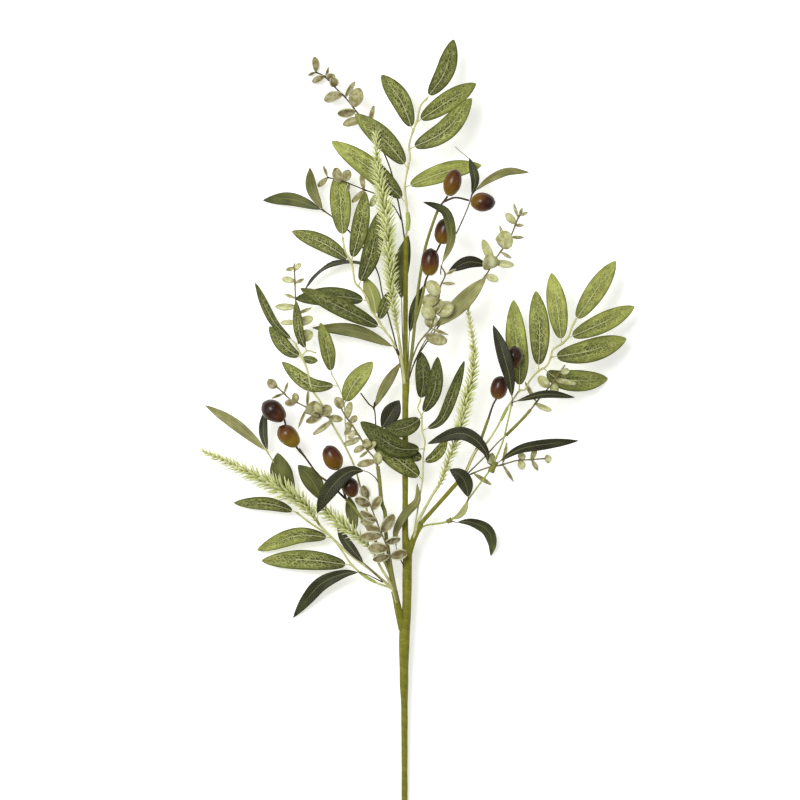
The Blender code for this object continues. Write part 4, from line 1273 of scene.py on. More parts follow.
EUCALYPTUS = {
    "eucalyptus_top_1": (
        (
            (BARK, 0.7, ((-1, 539, 34), (-3, 552, 34), (-7, 572, 33), (-14, 600, 33),
             (-28, 630, 32), (-44, 650, 29), (-54, 663, 24), (-62, 671, 19), (-72, 682, 12),
             (-81, 687, 6))),
        ),
        (
            (7, (-81, 688, 6), (-82, 701, 2)), (3, (-81, 687, 6), (-88, 684, 3)),
            (7, (-73, 682, 12), (-84, 678, 6)), (3, (-72, 682, 12), (-69, 691, 14)),
            (10, (-69, 679, 14), (-64, 684, 18)), (9, (-63, 672, 18), (-66, 681, 22)),
            (11, (-56, 665, 23), (-73, 661, 14)), (5, (-54, 663, 24), (-45, 677, 26)),
            (13.5, (-46, 653, 27), (-41, 671, 29)), (9, (-44, 650, 29), (-61, 648, 26)),
            (8, (-38, 643, 31), (-56, 638, 25)), (5, (-32, 636, 31), (-28, 655, 30)),
        ),
    ),
    "eucalyptus_top_2": (
        (
            (BARK, 0.65, ((-12, 566, 29.5), (-26, 575, 29.5), (-36, 579, 28), (-48, 584, 26),
             (-58, 588, 22), (-70, 591, 14))),
        ),
        (
            (3, (-70, 591, 14), (-74, 602, 12)), (5, (-70, 591, 14), (-79, 583, 8)),
            (9, (-59, 582, 23), (-62.5, 599.5, 24)), (8.5, (-56.5, 583, 23.5), (-50.5, 597.5, 24)),
            (4, (-50, 585, 25), (-53, 577, 27)), (5, (-37, 579, 28), (-39, 594, 26)),
            (5, (-36, 579, 28), (-48, 568, 24)), (6, (-26, 575, 29.5), (-31, 564, 28)),
        ),
    ),
    "eucalyptus_top_3": (
        (
            (GREY, WIRE, ((12, 440, 46), (23, 454, 50), (26, 465, 52), (30, 480, 53),
             (32, 492, 54), (36, 502, 54), (32, 510, 54))),
        ),
        (
            (15, (27, 468, 52), (43, 476, 54)), (12, (31, 483, 53), (20, 496, 54)),
            (12, (26, 462, 52), (16, 474, 54)), (3, (23, 454, 50), (39, 448, 48)),
            (11, (18, 448, 48), (38, 442, 46)), (3, (33, 494, 54), (45, 494, 54)),
            (3, (36, 502, 54), (46, 507, 54)), (12, (28, 482, 51), (16, 475, 49)),
            (12, (23, 454, 50), (23, 468, 50)), (10, (27, 466, 52), (32, 480, 50)),
        ),
    ),
    "eucalyptus_top_4": (
        (
            (GREY, WIRE, ((17, 438, 39), (40, 468, 38), (62, 492, 36), (72, 501, 36),
             (81, 516, 38), (86, 523, 38), (93, 533, 36), (97, 541, 34), (100, 549, 31),
             (103, 556, 28))),
        ),
        (
            (3, (102, 554, 29), (98, 567, 28)), (3, (103, 556, 28), (106, 563, 25)),
            (3, (103, 556, 28), (111, 559, 22)), (7, (100, 548, 31), (91, 558, 31)),
            (3, (99, 547, 32), (107, 547, 30)), (17, (91, 524, 38), (90, 542, 42)),
            (3, (90, 534, 38), (85, 547, 36)), (3, (96, 536, 36), (107, 536, 34)),
            (3, (86, 523, 38), (96, 517, 38)), (7, (81, 514, 38), (98, 511, 36)),
            (8, (79, 513, 38), (70, 534, 40)), (16, (77, 506, 38), (74, 520, 43)),
            (7, (73, 501, 36), (84, 497, 38)),
        ),
    ),
    "eucalyptus_left_1": (
        ((GREY, WIRE, ((-96, 440, 31), (-98, 465, 31), (-99, 490, 28), (-100, 513, 22))),),
        (
            (4, (-100, 509, 23), (-108, 507, 20)), (5, (-100, 506, 24), (-94, 513, 22)),
            (6, (-99, 497, 26), (-111, 499, 22)), (3, (-99, 495, 27), (-91, 499, 26)),
            (3, (-99, 482, 29), (-109, 485, 28)), (7, (-98, 474, 30), (-117, 474, 26)),
            (3, (-98, 467, 31), (-84, 473, 27)), (8, (-97, 458, 31), (-83, 464, 28)),
            (5, (-98, 460, 31), (-112, 459, 29)), (11, (-97, 446, 31), (-83, 450, 29)),
        ),
    ),
    "eucalyptus_left_2": (
        (
            (GREY, WIRE, ((-65, 372, 40), (-72, 376, 42), (-80, 380, 43), (-88, 383, 43),
             (-96, 387, 43), (-104, 391, 43), (-109, 396, 43), (-117, 403, 42))),
        ),
        (
            (9, (-115, 401, 42), (-123, 408, 41)), (3, (-108, 396, 43), (-120, 391, 42)),
            (3, (-108, 396, 43), (-105, 406, 42)), (7, (-98, 386, 43), (-99, 396, 44)),
            (7, (-98, 387, 43), (-108, 387, 45)), (3, (-88, 383, 43), (-96, 364, 42)),
            (3, (-88, 383, 43), (-87, 399, 43)), (16, (-86, 365, 43), (-80, 389, 47)),
            (11, (-74, 374, 42), (-68, 385, 43)), (7, (-68, 375, 42), (-56, 372, 42)),
            (5, (-65, 371, 40), (-83, 358.5, 38)), (8, (-75, 374, 43), (-89, 370, 43)),
            (7, (-80, 380, 43), (-67, 377, 43)),
        ),
    ),
    "eucalyptus_left_3": (
        (
            (GREEN, 2.0, ((-10, 223.5, 26), (-13, 240, 28), (-17, 268, 32), (-18, 288, 36),
             (-21, 298, 38), (-23, 318, 40), (-24.5, 330, 41.8))),
            (GREY, WIRE, ((-24.5, 330, 41.8), (-28, 338, 42.6), (-34, 345, 43), (-39, 354, 43),
             (-48, 368, 43), (-54, 376, 43), (-58, 384, 43))),
        ),
        (
            (9, (-57, 382, 43), (-62, 392, 43)), (6, (-50, 370, 43), (-43, 375, 42)),
            (6, (-47, 366, 43), (-54, 368, 45)), (8, (-39, 352, 43), (-30, 350, 46)),
            (8, (-25, 331, 42), (-24, 343, 43)), (6, (-41, 355, 43), (-55, 350, 42)),
            (5, (-49, 368, 43), (-54, 358, 42)), (7, (-28, 334, 42), (-43, 331, 41)),
            (3, (-33, 344, 43), (-41, 338, 44)), (3, (-41, 358, 43), (-50, 362, 41)),
            (7, (-52, 373, 43), (-48.5, 388, 43)), (6, (-44, 362, 43), (-51, 355, 42)),
            (6, (-36, 348, 43), (-46, 343, 43)), (6, (-34, 345, 43), (-26, 352, 43)),
        ),
    ),
    "eucalyptus_left_4": (
        (
            (GREY, WIRE, ((-8.5, 222, 31), (-13, 246, 38), (-17, 260, 42), (-22, 272, 44),
             (-29, 290, 45), (-34, 303, 45))),
        ),
        (
            (10, (-33, 301, 45), (-38, 313, 46)), (10, (-31, 295, 45), (-45, 301, 45)),
            (9, (-29, 291, 45), (-21, 303, 46)), (11, (-22, 271, 44), (-10, 287, 45)),
            (9.5, (-21, 268, 43.5), (-40, 267, 43)), (11, (-15, 256, 41), (-33, 256, 41)),
            (8, (-15, 250, 39), (-29, 246, 38)), (10, (-13, 249, 38), (2, 252, 36)),
            (8, (-25, 281, 44.5), (-40, 290, 45)), (8, (-26, 282, 44), (-40, 280, 43)),
            (8, (-22, 272, 43.5), (-35, 275, 42)), (7, (-17, 262, 42), (-4, 265, 40)),
        ),
    ),
    "eucalyptus_right_1": (
        (
            (GREY, WIRE, ((58.5, 325.5, 37.5), (73, 340, 40), (84, 352, 41), (91, 358, 41))),
            (GREEN, TAPED, ((91, 358, 41), (105, 372, 41), (113, 381, 40))),
            (GREY, WIRE, ((113, 381, 40), (120, 390, 39), (131, 403, 38), (138, 413, 37),
             (144, 421, 36))),
        ),
        (
            (9, (129, 401, 38), (120, 411, 39)), (8, (133, 406, 38), (136, 396, 34)),
            (5, (134, 408, 37.5), (154, 404, 34)), (6, (139, 415, 37), (148, 416, 34)),
            (4, (118, 388, 37), (108, 406, 35)), (5, (117, 386, 38), (132, 380, 36)),
        ),
    ),
    "eucalyptus_right_2": (
        (
            (GREY, WIRE, ((57, 322, 34.5), (75, 329, 35), (86, 331, 35), (100, 335, 34),
             (113, 336, 32), (128, 337, 30))),
        ),
        (
            (8, (126, 337, 30), (132, 337, 32)), (5, (114, 336, 32), (118, 346, 31)),
            (4, (114, 336, 32), (120, 326, 29)), (7, (104, 335, 33.5), (106, 327, 36)),
            (3, (88, 331, 35), (98, 316, 31)), (3, (88, 331, 35), (92, 352, 31)),
            (4, (62, 324, 34.5), (78, 313, 33)), (7, (79, 330, 35), (78, 342, 33)),
            (7, (104, 335, 33.5), (106, 342, 32)),
        ),
    ),
}
PLUMES = {
    "plume_top": (
        (-3, 427.5, 39, 1.6), (-6, 448, 47, 2.2), (-9, 466, 51, 6.5), (-13, 500, 54, 8.6),
        (-15.5, 537, 55, 9.8), (-18, 560, 54, 9.8), (-21, 578, 53, 8.2), (-25, 604, 50, 6.2),
        (-26, 625, 48, 4.4),
    ),
    "plume_left_long": (
        (-13.2, 220.8, 20, 0.9), (-33, 238, 22.5, 1.4), (-55, 255, 25, 1.4), (-77, 277, 28, 1.6),
        (-82, 285, 31, 7.5), (-93, 298, 34, 10.0), (-107, 307, 36, 10.8), (-122, 315, 35, 9.6),
        (-137, 323, 33, 8.0), (-150, 329, 30, 6.6), (-167, 337, 26, 5.2), (-181, 343, 22, 3.3),
    ),
    "plume_left_short": (
        (-14, 226, 26.5, 0.9), (-22, 239, 29, 1.0), (-28, 251.5, 31.5, 4.2), (-35, 260, 33, 6.4),
        (-47, 270, 34, 8.6), (-59, 279.5, 34.5, 9.0), (-69, 287.5, 35, 7.2), (-76, 292, 35, 4.2),
    ),
    "plume_right": (
        (12.2, 280.8, 29.2, 1.5), (24, 303, 34, 1.7), (32, 316, 37, 5.0), (39.5, 337, 40, 6.6),
        (45.5, 352, 41, 7.2), (51, 370, 42, 8.2), (55.5, 392, 42, 8.2), (60, 410, 42, 7.6),
        (62, 427, 41, 6.4), (61, 443, 40, 5.4), (57, 469, 37, 3.0),
    ),
}
EUCALYPTUS_TONES = {
    "eucalyptus_top_1": 0.32, "eucalyptus_top_2": 0.5, "eucalyptus_top_3": 0.68,
    "eucalyptus_top_4": 0.92, "eucalyptus_left_1": 0.92, "eucalyptus_left_2": 0.38,
    "eucalyptus_left_3": 0.5, "eucalyptus_left_4": 0.24, "eucalyptus_right_1": 0.75,
    "eucalyptus_right_2": 0.8,
}

# where a twig, a plume or the wire of a loose leaf comes out of the bundle, ahead of its own route
ROOTS = {
    "top_leaf_sprig": ((1, 530, 40.7), (1, 534, 41)),
    "eucalyptus_top_1": ((0.6, 526, 38), (-0.2, 533, 35.4)),
    "eucalyptus_top_2": ((-3.6, 552, 33.6), (-7, 559, 32)),
    "upper_left_leaf_sprig": ((-0.8, 404, 34), (-2.0, 414, 34.6)),
    "plume_top": ((-0.2, 404, 36.2), (-1.2, 414, 37)),
    "top_fruit_stem": ((1.8, 404, 35), (3.2, 415, 35.6)),
    "eucalyptus_top_3": ((2.0, 406, 37), (5.0, 421, 40)),
    "eucalyptus_top_4": ((2.8, 406, 34.5), (8.0, 422, 37)),
    "top_dark_leaf_pair": ((-1.4, 404, 31.6), (-3.0, 416, 31.2)),
    "olive_leaf_top_6": ((2.6, 418, 32), (3.2, 434, 31)),
    "olive_leaf_top_7": ((-1.4, 408, 31.0), (-5.0, 426, 27)),
    "olive_leaf_top_8": ((-0.8, 424, 32.4), (-2.2, 448, 31)),
    "olive_leaf_top_5": ((8.0, 423, 38), (17, 441, 42)),
    "low_left_leaf_sprig": ((-6.6, 205, 18.5), (-9.4, 214, 17.8)),
    "high_left_leaf_sprig": ((-5.6, 203, 19.2), (-8.0, 213, 18.6)),
    "plume_left_long": ((-6.8, 206, 20.6), (-9.6, 214.5, 20.2)),
    "plume_left_short": ((-7.2, 206, 22.5), (-10.2, 217, 24.6)),
    "left_fruit_stem": ((-7.4, 208, 21.5), (-9.6, 216, 22)),
    "eucalyptus_left_3": ((-6.4, 206, 22), (-8.6, 216, 24.4)),
    "eucalyptus_left_4": ((-5.2, 206, 22.4), (-6.8, 214, 27)),
    "olive_leaf_left_6": ((-20, 226, 26.5), (-29, 235, 29.5)),
    "olive_leaf_left_8": ((-20, 225, 19.6), (-32, 231, 20)),
    "olive_leaf_left_7": ((-33, 258, 24.5), (-40, 265, 23)),
    "olive_leaf_left_3": ((-86, 291, 27), (-92, 300, 22)),
    "olive_leaf_left_4": ((-70, 284, 20), (-72, 292, 20)),
    "olive_leaf_left_5": ((-23, 313, 39.6), (-26, 319, 41.2), (-31, 323.5, 43)),
    "olive_leaf_centre_1": ((-1, 240, 26), (-6, 250, 32)),
    "olive_leaf_centre_2": ((-26, 352, 30.6), (-25, 358, 32.5)),
    "centre_leaf_sprig": ((6, 262, 23), (8, 270, 23.6)),
    "right_leaf_wire": ((8, 262, 26.2), (13, 271, 27)),
    "plume_right": ((8, 265, 26.6), (10, 273, 28.4)),
    "right_leaf_sprig": ((50, 318, 37), (53, 322.5, 39.5)),
    "right_fruit_stem": ((50, 318, 36.4), (52.5, 321.5, 37.6)),
    "eucalyptus_right_1": ((51, 317.5, 36.2), (54.5, 321.5, 37)),
    "eucalyptus_right_2": ((50, 316.5, 35.6), (53.5, 319.6, 35)),
    "olive_leaf_right_3": ((79.5, 331, 46.6), (82, 333.5, 46.4)),
    "olive_leaf_right_4": ((79, 330, 47), (77, 331.5, 48.4)),
    "olive_leaf_right_5": ((55.5, 297, 32), (56.5, 299.5, 34)),
    "olive_leaf_right_6": ((40, 280.4, 28.4), (43, 280.2, 28.8)),
    "olive_leaf_right_1": ((96, 384, 51), (96, 388, 52)),
    "olive_leaf_right_2": ((96, 387, 51), (97.5, 388, 51)),
    "olive_leaf_top_2": ((60, 574, 40), (61.4, 575.6, 40)),
    "olive_leaf_top_3": ((32, 502, 56), (32, 506, 58.5)),
    "olive_leaf_top_4": ((80, 515, 38.5), (73, 515, 41)),
}

# short bands of tape and knots: name, CAD node, slot, coat, radius at each point of the route
BANDS = (
    ("top_sprig_tape", "top_leaf_sprig", "veined_leaf", LEAFY, 2.0, ((2.2, 542, 41.6),
     (3, 550, 43), (2.4, 558, 43.8))),
    ("upper_left_knot", "upper_left_leaf_sprig", "veined_leaf", BARK, 1.4, ((-5.5, 430, 34.1),
     (-6.6, 433, 34.3), (-8, 436, 34.5))),
    ("low_left_tape", "low_left_leaf_sprig", "veined_leaf", LEAFY, 1.5, ((-27, 225, 16.5),
     (-34, 229, 16.6), (-41, 234, 17))),
    ("right_sprig_tape", "right_leaf_sprig", "veined_leaf", LEAFY, 1.5, ((86, 371, 43.6),
     (89, 377, 43.2), (92, 383, 43))),
    ("long_plume_tape", "plume_left_long", "plume", GREEN, 1.3, ((-77, 277, 28), (-81, 283, 29.6),
     (-85, 289, 31.4))),
)


@dataclass
class Wardrobe:
    """Every finish of the spray, made once."""

    effects: SharedEffects

    def __post_init__(self) -> None:
        """Make the materials."""
        fx = self.effects
        self.veined = VeinedCloth("veined_cloth", fx).build()
        self.veined_back = PaleUnderside("veined_cloth_back", fx).build()
        self.dark = CoatedCloth("coated_cloth", fx, 0.42).build()
        self.dark_back = PaleUnderside("coated_cloth_back", fx, 0.6, srgb(140, 140, 88),
                                       srgb(170, 170, 112)).build()
        self.frosted = FrostedLeaf("frosted_leaf", fx, 0.55).build()
        self.bristle = BristleSkin("plume_bristle", fx, 0.5).build()
        self.olive = OliveSkin("olive_skin", fx, 0.3).build()
        self.tape = WrappedTape("stem_tape", fx, 0.48).build()
        self.twigs = (
            TwigSkin("cream_twig", fx, 0.55, srgb(210, 210, 154), srgb(158, 158, 96)).build(),
            TwigSkin("bark_twig", fx, 0.5, srgb(84, 72, 52), srgb(44, 36, 24)).build(),
            # the third colour of each tape below is its painted highlight
            WrappedTape("green_wire_tape", fx, 0.5, srgb(128, 128, 62), srgb(84, 84, 34),
                        srgb(158, 158, 88), 6.0).build(),
            TwigSkin("grey_twig", fx, 0.55, srgb(130, 124, 84), srgb(84, 76, 46)).build(),
            WrappedTape("leaf_wire_tape", fx, 0.5, srgb(164, 174, 92), srgb(120, 130, 60),
                        srgb(190, 198, 120), 5.0).build(),
        )


@dataclass
class TapedStem:
    """The main stem with its forks, wound with floral tape."""

    bench: Bench
    routes: tuple = (TRUNK, LEFT_FORK, RIGHT_FORK, RIGHT_FRUIT_WIRE)
    pitch: float = 9.0
    step: float = TAPE_STEP
    lump: float = 0.05
    lump_pitch: float = 31.0

    def build(self, finishes: Wardrobe) -> None:
        """Draw the trunk and the forks as one piece.

        Args:
            finishes: The spray's finishes.
        """
        piece = Piece("stem_wrap", "stem_tape", ("taped_stem",))
        for number, points in enumerate(self.routes):
            route = self.bench.route(points)
            shares = [route.nearest_share(self.bench.place(point)) for point in points]
            sizes = [point[3] for point in points]
            tube = Tube(28 if number == 0 else 18, 1.6)
            tube.add(piece, route, self.wound(shares, sizes, route.length))
        piece.finish([finishes.tape])

    def wound(self, shares: Sequence[float], sizes: Sequence[float], length: float) -> Radius:
        """Radius that follows the listed sizes, with a small step at each lap of the tape.

        Args:
            shares: Share of the length at each listed point.
            sizes: Radius there in millimetres.
            length: Length of the route in metres.

        Returns:
            The radius function.
        """
        def radius(share: float, turn: float) -> float:
            """Radius in metres at one place."""
            index, part = bracket(shares, share)
            part = part * part * (3.0 - 2.0 * part)
            size = sizes[index] + (sizes[index + 1] - sizes[index]) * part
            travel = share * length / MM
            lap = (turn + travel / self.pitch) % 1.0
            lump = self.lump * math.sin(FULL_TURN * (2 * turn + travel / self.lump_pitch))
            return (size + self.step * (lap - 0.5) + lump) * MM

        return radius


@dataclass
class LeafyTwig:
    """A twig with its blades: one piece for the twig, one for the leaves."""

    bench: Bench
    name: str
    slot: str
    shape: LeafShape
    twigs: tuple
    leaves: tuple
    wall: float = LEAF_WALL
    stalks: bool = True

    def build(self, finishes: Wardrobe) -> None:
        """Build the twig and its leaves.

        Args:
            finishes: The spray's finishes.
        """
        lead = ROOTS.get(self.name, ())
        routes = [self.bench.route((() if number else lead) + points)
                  for number, (_, _, points) in enumerate(self.twigs)]
        rooted = [self.rooted(routes, points) for _, _, _, points in self.leaves]
        twig = Piece(f"{self.name}_twig", self.slot, (self.name,))
        for (coat, size, _), route in zip(self.twigs, routes):
            joints = [(route.nearest_share(leaf.at(0.0)), leaf.at(0.0)) for leaf in rooted]
            knobs = [(share, 0.35 * size, 1.6) for share, spot in joints
                     if (route.at(share) - spot).length < MM]
            Tube(10, 1.8).add(twig, route, knobbed(size, knobs, route.length, 0.12), coat)
        if self.stalks:
            for leaf in rooted:
                stub = Route([leaf.at(0.0), leaf.at(0.05), leaf.at(0.11)])
                Tube(8, 1.0).add(twig, stub, knobbed(STALK, (), stub.length, 0.45),
                                 self.twigs[0][0])
        twig.finish(finishes.twigs)
        if self.leaves:
            self.build_leaves(finishes, rooted)

    def rooted(self, routes: Sequence[Route], points: Points) -> Route:
        """A leaf's centre line, begun on the centre line of the nearest twig.

        Args:
            routes: The twigs.
            points: The leaf's drawing points.

        Returns:
            The leaf's route.
        """
        spots = [self.bench.place(point) for point in points]
        found = [route.at(route.nearest_share(spots[0])) for route in routes]
        spots[0] = min(found, key=lambda spot: (spot - spots[0]).length)
        return Route(spots)

    def build_leaves(self, finishes: Wardrobe, rooted: Sequence[Route]) -> None:
        """Build the blades as one piece.

        Args:
            finishes: The spray's finishes.
            rooted: Centre line of each leaf.
        """
        piece = Piece(f"{self.name}_leaves", self.slot, (self.name,))
        small = self.shape is LeafShape.ROUND
        folds = {"fold": 0.5, "wave": 0.15, "columns": 6, "rows": 10} if small else {}
        for (width, roll, tone, _), route in zip(self.leaves, rooted):
            drift = piece.chance.uniform(-0.08, 0.08)
            tones = (tone[0] + drift, tone[1] + drift)
            shape = LeafShape.OLIVE if small and width < THIN_LEAF else self.shape
            Blade(width, roll, tones, shape, start=BARE_BASE[self.shape], **folds).add(piece, route)
        dark = (finishes.dark, finishes.dark_back)
        dress = {"veined_leaf": (finishes.veined, finishes.veined_back),
                 "eucalyptus": (finishes.frosted,)}.get(self.slot, dark)
        piece.finish(dress, self.wall * MM, len(dress) - 1)


@dataclass
class LooseLeaf:
    """One dark leaf that is wired on by itself."""

    bench: Bench
    name: str
    row: tuple

    def build(self, finishes: Wardrobe) -> None:
        """Build the blade and the stub of wire at its base.

        Args:
            finishes: The spray's finishes.
        """
        width, roll, tone, points = self.row
        route = self.bench.route(points)
        stub = Piece(f"{self.name}_stub", "dark_leaf", (self.name,))
        lead = [self.bench.place(point) for point in ROOTS.get(self.name, ())]
        wire = Route([*lead, route.at(0.0), route.at(0.04), route.at(0.09)])
        Tube(8, 1.0).add(stub, wire, knobbed(0.55, (), wire.length, 0.4), BARK)
        stub.finish(finishes.twigs)
        piece = Piece(f"{self.name}_blade", "dark_leaf", (self.name,))
        Blade(width, roll, tone, LeafShape.OLIVE, fold=0.12, start=0.02).add(piece, route)
        piece.finish((finishes.dark, finishes.dark_back), LEAF_WALL * MM, 1)


@dataclass
class Olive:
    """One lacquered olive, with a pit at its stalk and a small point at its tip."""

    bench: Bench
    name: str
    centre: Point
    length: float
    thickness: float
    heading: float
    tilt: float
    ripeness: float
    pit: tuple[float, float] = (0.05, 0.03)
    nub: tuple[float, float] = (0.035, 0.012)

    def build(self, finishes: Wardrobe) -> None:
        """Shape the olive from a ball.

        Args:
            finishes: The spray's finishes.
        """
        piece = Piece(f"{self.name}_fruit", "olive_skin", (self.name,))
        fruit = piece.layer("fruit")
        bmesh.ops.create_uvsphere(piece.bm, u_segments=36, v_segments=26, radius=1.0,
                                  matrix=Matrix.Rotation(math.radians(90.0), 4, "X"))
        seed = piece.chance.uniform(0.0, 9.0)
        for vert in piece.bm.verts:
            along = -vert.co.y
            spread = math.hypot(vert.co.x, vert.co.z)
            fuller = 1.0 + 0.05 * along + 0.04 * math.sin(3.0 * along + seed) * spread
            pit, nub = (depth * math.exp(-((1.0 + side * along) / width) ** 2)
                        for side, (depth, width) in ((1.0, self.pit), (-1.0, self.nub)))
            vert[fruit] = (0.5 + 0.5 * along, self.ripeness, seed)
            vert.co = Vector((vert.co.x * fuller * 0.5 * self.thickness,
                              (along + pit + nub) * 0.5 * self.length,
                              vert.co.z * fuller * 0.5 * self.thickness)) * MM
        turn = Matrix.Rotation(math.radians(self.heading), 4, "Z")
        lean = Matrix.Rotation(math.radians(self.tilt), 4, "X")
        place = Matrix.Translation(self.bench.place(self.centre))
        bmesh.ops.transform(piece.bm, verts=piece.bm.verts, matrix=place @ turn @ lean)
        piece.finish([finishes.olive])


@dataclass
class Plume:
    """A bristled plume: a thin stem with whorls of curved bristles."""

    bench: Bench
    name: str
    points: tuple
    pitch: float = 4.1
    bristles: int = 8
    bare: float = 2.3
    sides: int = 5
    root_radius: float = 0.125
    sizes: tuple = (1.05, 1.0, 0.95, 0.86, 0.5)
    spiral: float = 0.35
    least_length: float = 3.4

    def build(self, finishes: Wardrobe) -> None:
        """Build the stem piece and the bristle piece.

        Args:
            finishes: The spray's finishes.
        """
        self.points = tuple((*point, 0.9) for point in ROOTS.get(self.name, ())) + self.points
        route = self.bench.route(self.points)
        shares = [route.nearest_share(self.bench.place(point)) for point in self.points]
        stem = Piece(f"{self.name}_stem", "plume", (self.name,))
        Tube(8, 2.0).add(stem, route, knobbed(1.3, (), route.length, 0.3), CREAM)
        stem.finish(finishes.twigs)
        piece = Piece(f"{self.name}_bristles", "plume", (self.name,))
        whorls = [self.whorl(piece) for _ in range(3)]
        count = int(route.length / (self.pitch * MM)) + 1
        for number, frame_at in enumerate(route.frames(count)):
            share = number / (count - 1)
            reach = self.reach(shares, share)
            if reach > self.bare:
                self.set_whorl(piece, whorls[number % len(whorls)], frame_at, reach, number, share)
        for mesh in whorls:
            bpy.data.meshes.remove(mesh)
        piece.finish([finishes.bristle])

    def reach(self, shares: Sequence[float], share: float) -> float:
        """Reach of the bristles in millimetres at a share of the length."""
        index, part = bracket(shares, share)
        near, far = self.points[index][3], self.points[index + 1][3]
        return near + (far - near) * part

    def whorl(self, piece: Piece) -> bpy.types.Mesh:
        """A ring of bristles of unit reach about the Z axis.

        Args:
            piece: Gives the chance numbers.

        Returns:
            The ring as a loose mesh.
        """
        one = bmesh.new()
        mark = one.verts.layers.float_vector.new("bristle")
        ring = bmesh.ops.create_circle(one, cap_ends=True, segments=self.sides,
                                       radius=self.root_radius)["verts"]
        edges = list({edge for vert in ring for edge in vert.link_edges})
        for vert in ring:
            vert[mark] = (0.0, 0.5, 0.0)
        bend = Matrix.Rotation(math.radians(-5.0), 4, "Y")
        for step, size in enumerate(self.sizes, 1):
            ring, edges = extend(one, edges)
            middle = sum((vert.co for vert in ring), Vector()) / len(ring)
            forward = Matrix.Translation((0.21, 0.0, 0.24 - 0.015 * step))
            shape = Matrix.Translation(middle) @ bend @ Matrix.Diagonal((size, size, size, 1.0))
            bmesh.ops.transform(one, verts=ring,
                                matrix=forward @ shape @ Matrix.Translation(-middle))
            for vert in ring:
                vert[mark] = (step / len(self.sizes), 0.5, 0.0)
        bmesh.ops.edgeloop_fill(one, edges=edges)
        bmesh.ops.recalc_face_normals(one, faces=one.faces)
        single = bpy.data.meshes.new("bristle")
        one.to_mesh(single)
        one.free()
        ring_mesh = self.ring_of(single, piece)
        bpy.data.meshes.remove(single)
        return ring_mesh

    def ring_of(self, single: bpy.types.Mesh, piece: Piece) -> bpy.types.Mesh:
        """Repeat one bristle round the axis, each a little different.

        Args:
            single: The bristle.
            piece: Gives the chance numbers.

        Returns:
            The ring.
        """
        ring = bmesh.new()
        size = len(single.vertices)
        for number in range(self.bristles):
            ring.from_mesh(single)
            ring.verts.ensure_lookup_table()
            mark = ring.verts.layers.float_vector.get("bristle")
            added = ring.verts[-size:]
            tone = piece.chance.random()
            for vert in added:
                vert[mark] = (vert[mark][0], tone, 0.0)
            turn = FULL_TURN * (number + piece.chance.uniform(-0.2, 0.2)) / self.bristles
            grow = piece.chance.uniform(0.86, 1.08)
            move = Matrix.Rotation(turn, 4, "Z") @ Matrix.Diagonal((grow, 1.0, grow, 1.0))
            lift = Matrix.Translation((0.0, 0.0, piece.chance.uniform(-0.12, 0.12)))
            bmesh.ops.transform(ring, verts=added, matrix=lift @ move)
        mesh = bpy.data.meshes.new("whorl")
        ring.to_mesh(mesh)
        ring.free()
        return mesh

    def set_whorl(self, piece: Piece, mesh: bpy.types.Mesh, frame_at: Matrix, reach: float,
                  number: int, share: float) -> None:
        """Put one whorl on the stem.

        Args:
            piece: The bristle piece.
            mesh: The whorl.
            frame_at: Frame on the stem, Z ahead.
            reach: Reach in millimetres.
            number: Which whorl it is.
            share: Share of the plume's length.
        """
        size = len(mesh.vertices)
        piece.bm.from_mesh(mesh)
        piece.bm.verts.ensure_lookup_table()
        added = piece.bm.verts[-size:]
        turn = Matrix.Rotation(self.spiral * number, 4, "Z")
        closing = 1.0 + 0.5 * max(share - 0.9, 0.0) / 0.1
        ahead = max(reach, self.least_length) * 1.05 * closing * MM
        scale = Matrix.Diagonal((reach * MM, reach * MM, ahead, 1.0))
        bmesh.ops.transform(piece.bm, verts=added, matrix=frame_at @ scale @ turn)


@dataclass
class Band:
    """A short band of tape or a knot on a twig."""

    bench: Bench
    row: tuple

    def build(self, finishes: Wardrobe) -> None:
        """Build the band.

        Args:
            finishes: The spray's finishes.
        """
        name, node, slot, coat, size, points = self.row
        route = self.bench.route(points)
        piece = Piece(name, slot, (node,))
        swell = [(0.5, 0.25 * size, 0.3 * route.length / MM)]
        Tube(14, 0.8).add(piece, route, knobbed(0.85 * size, swell, route.length), coat)
        piece.finish(finishes.twigs)


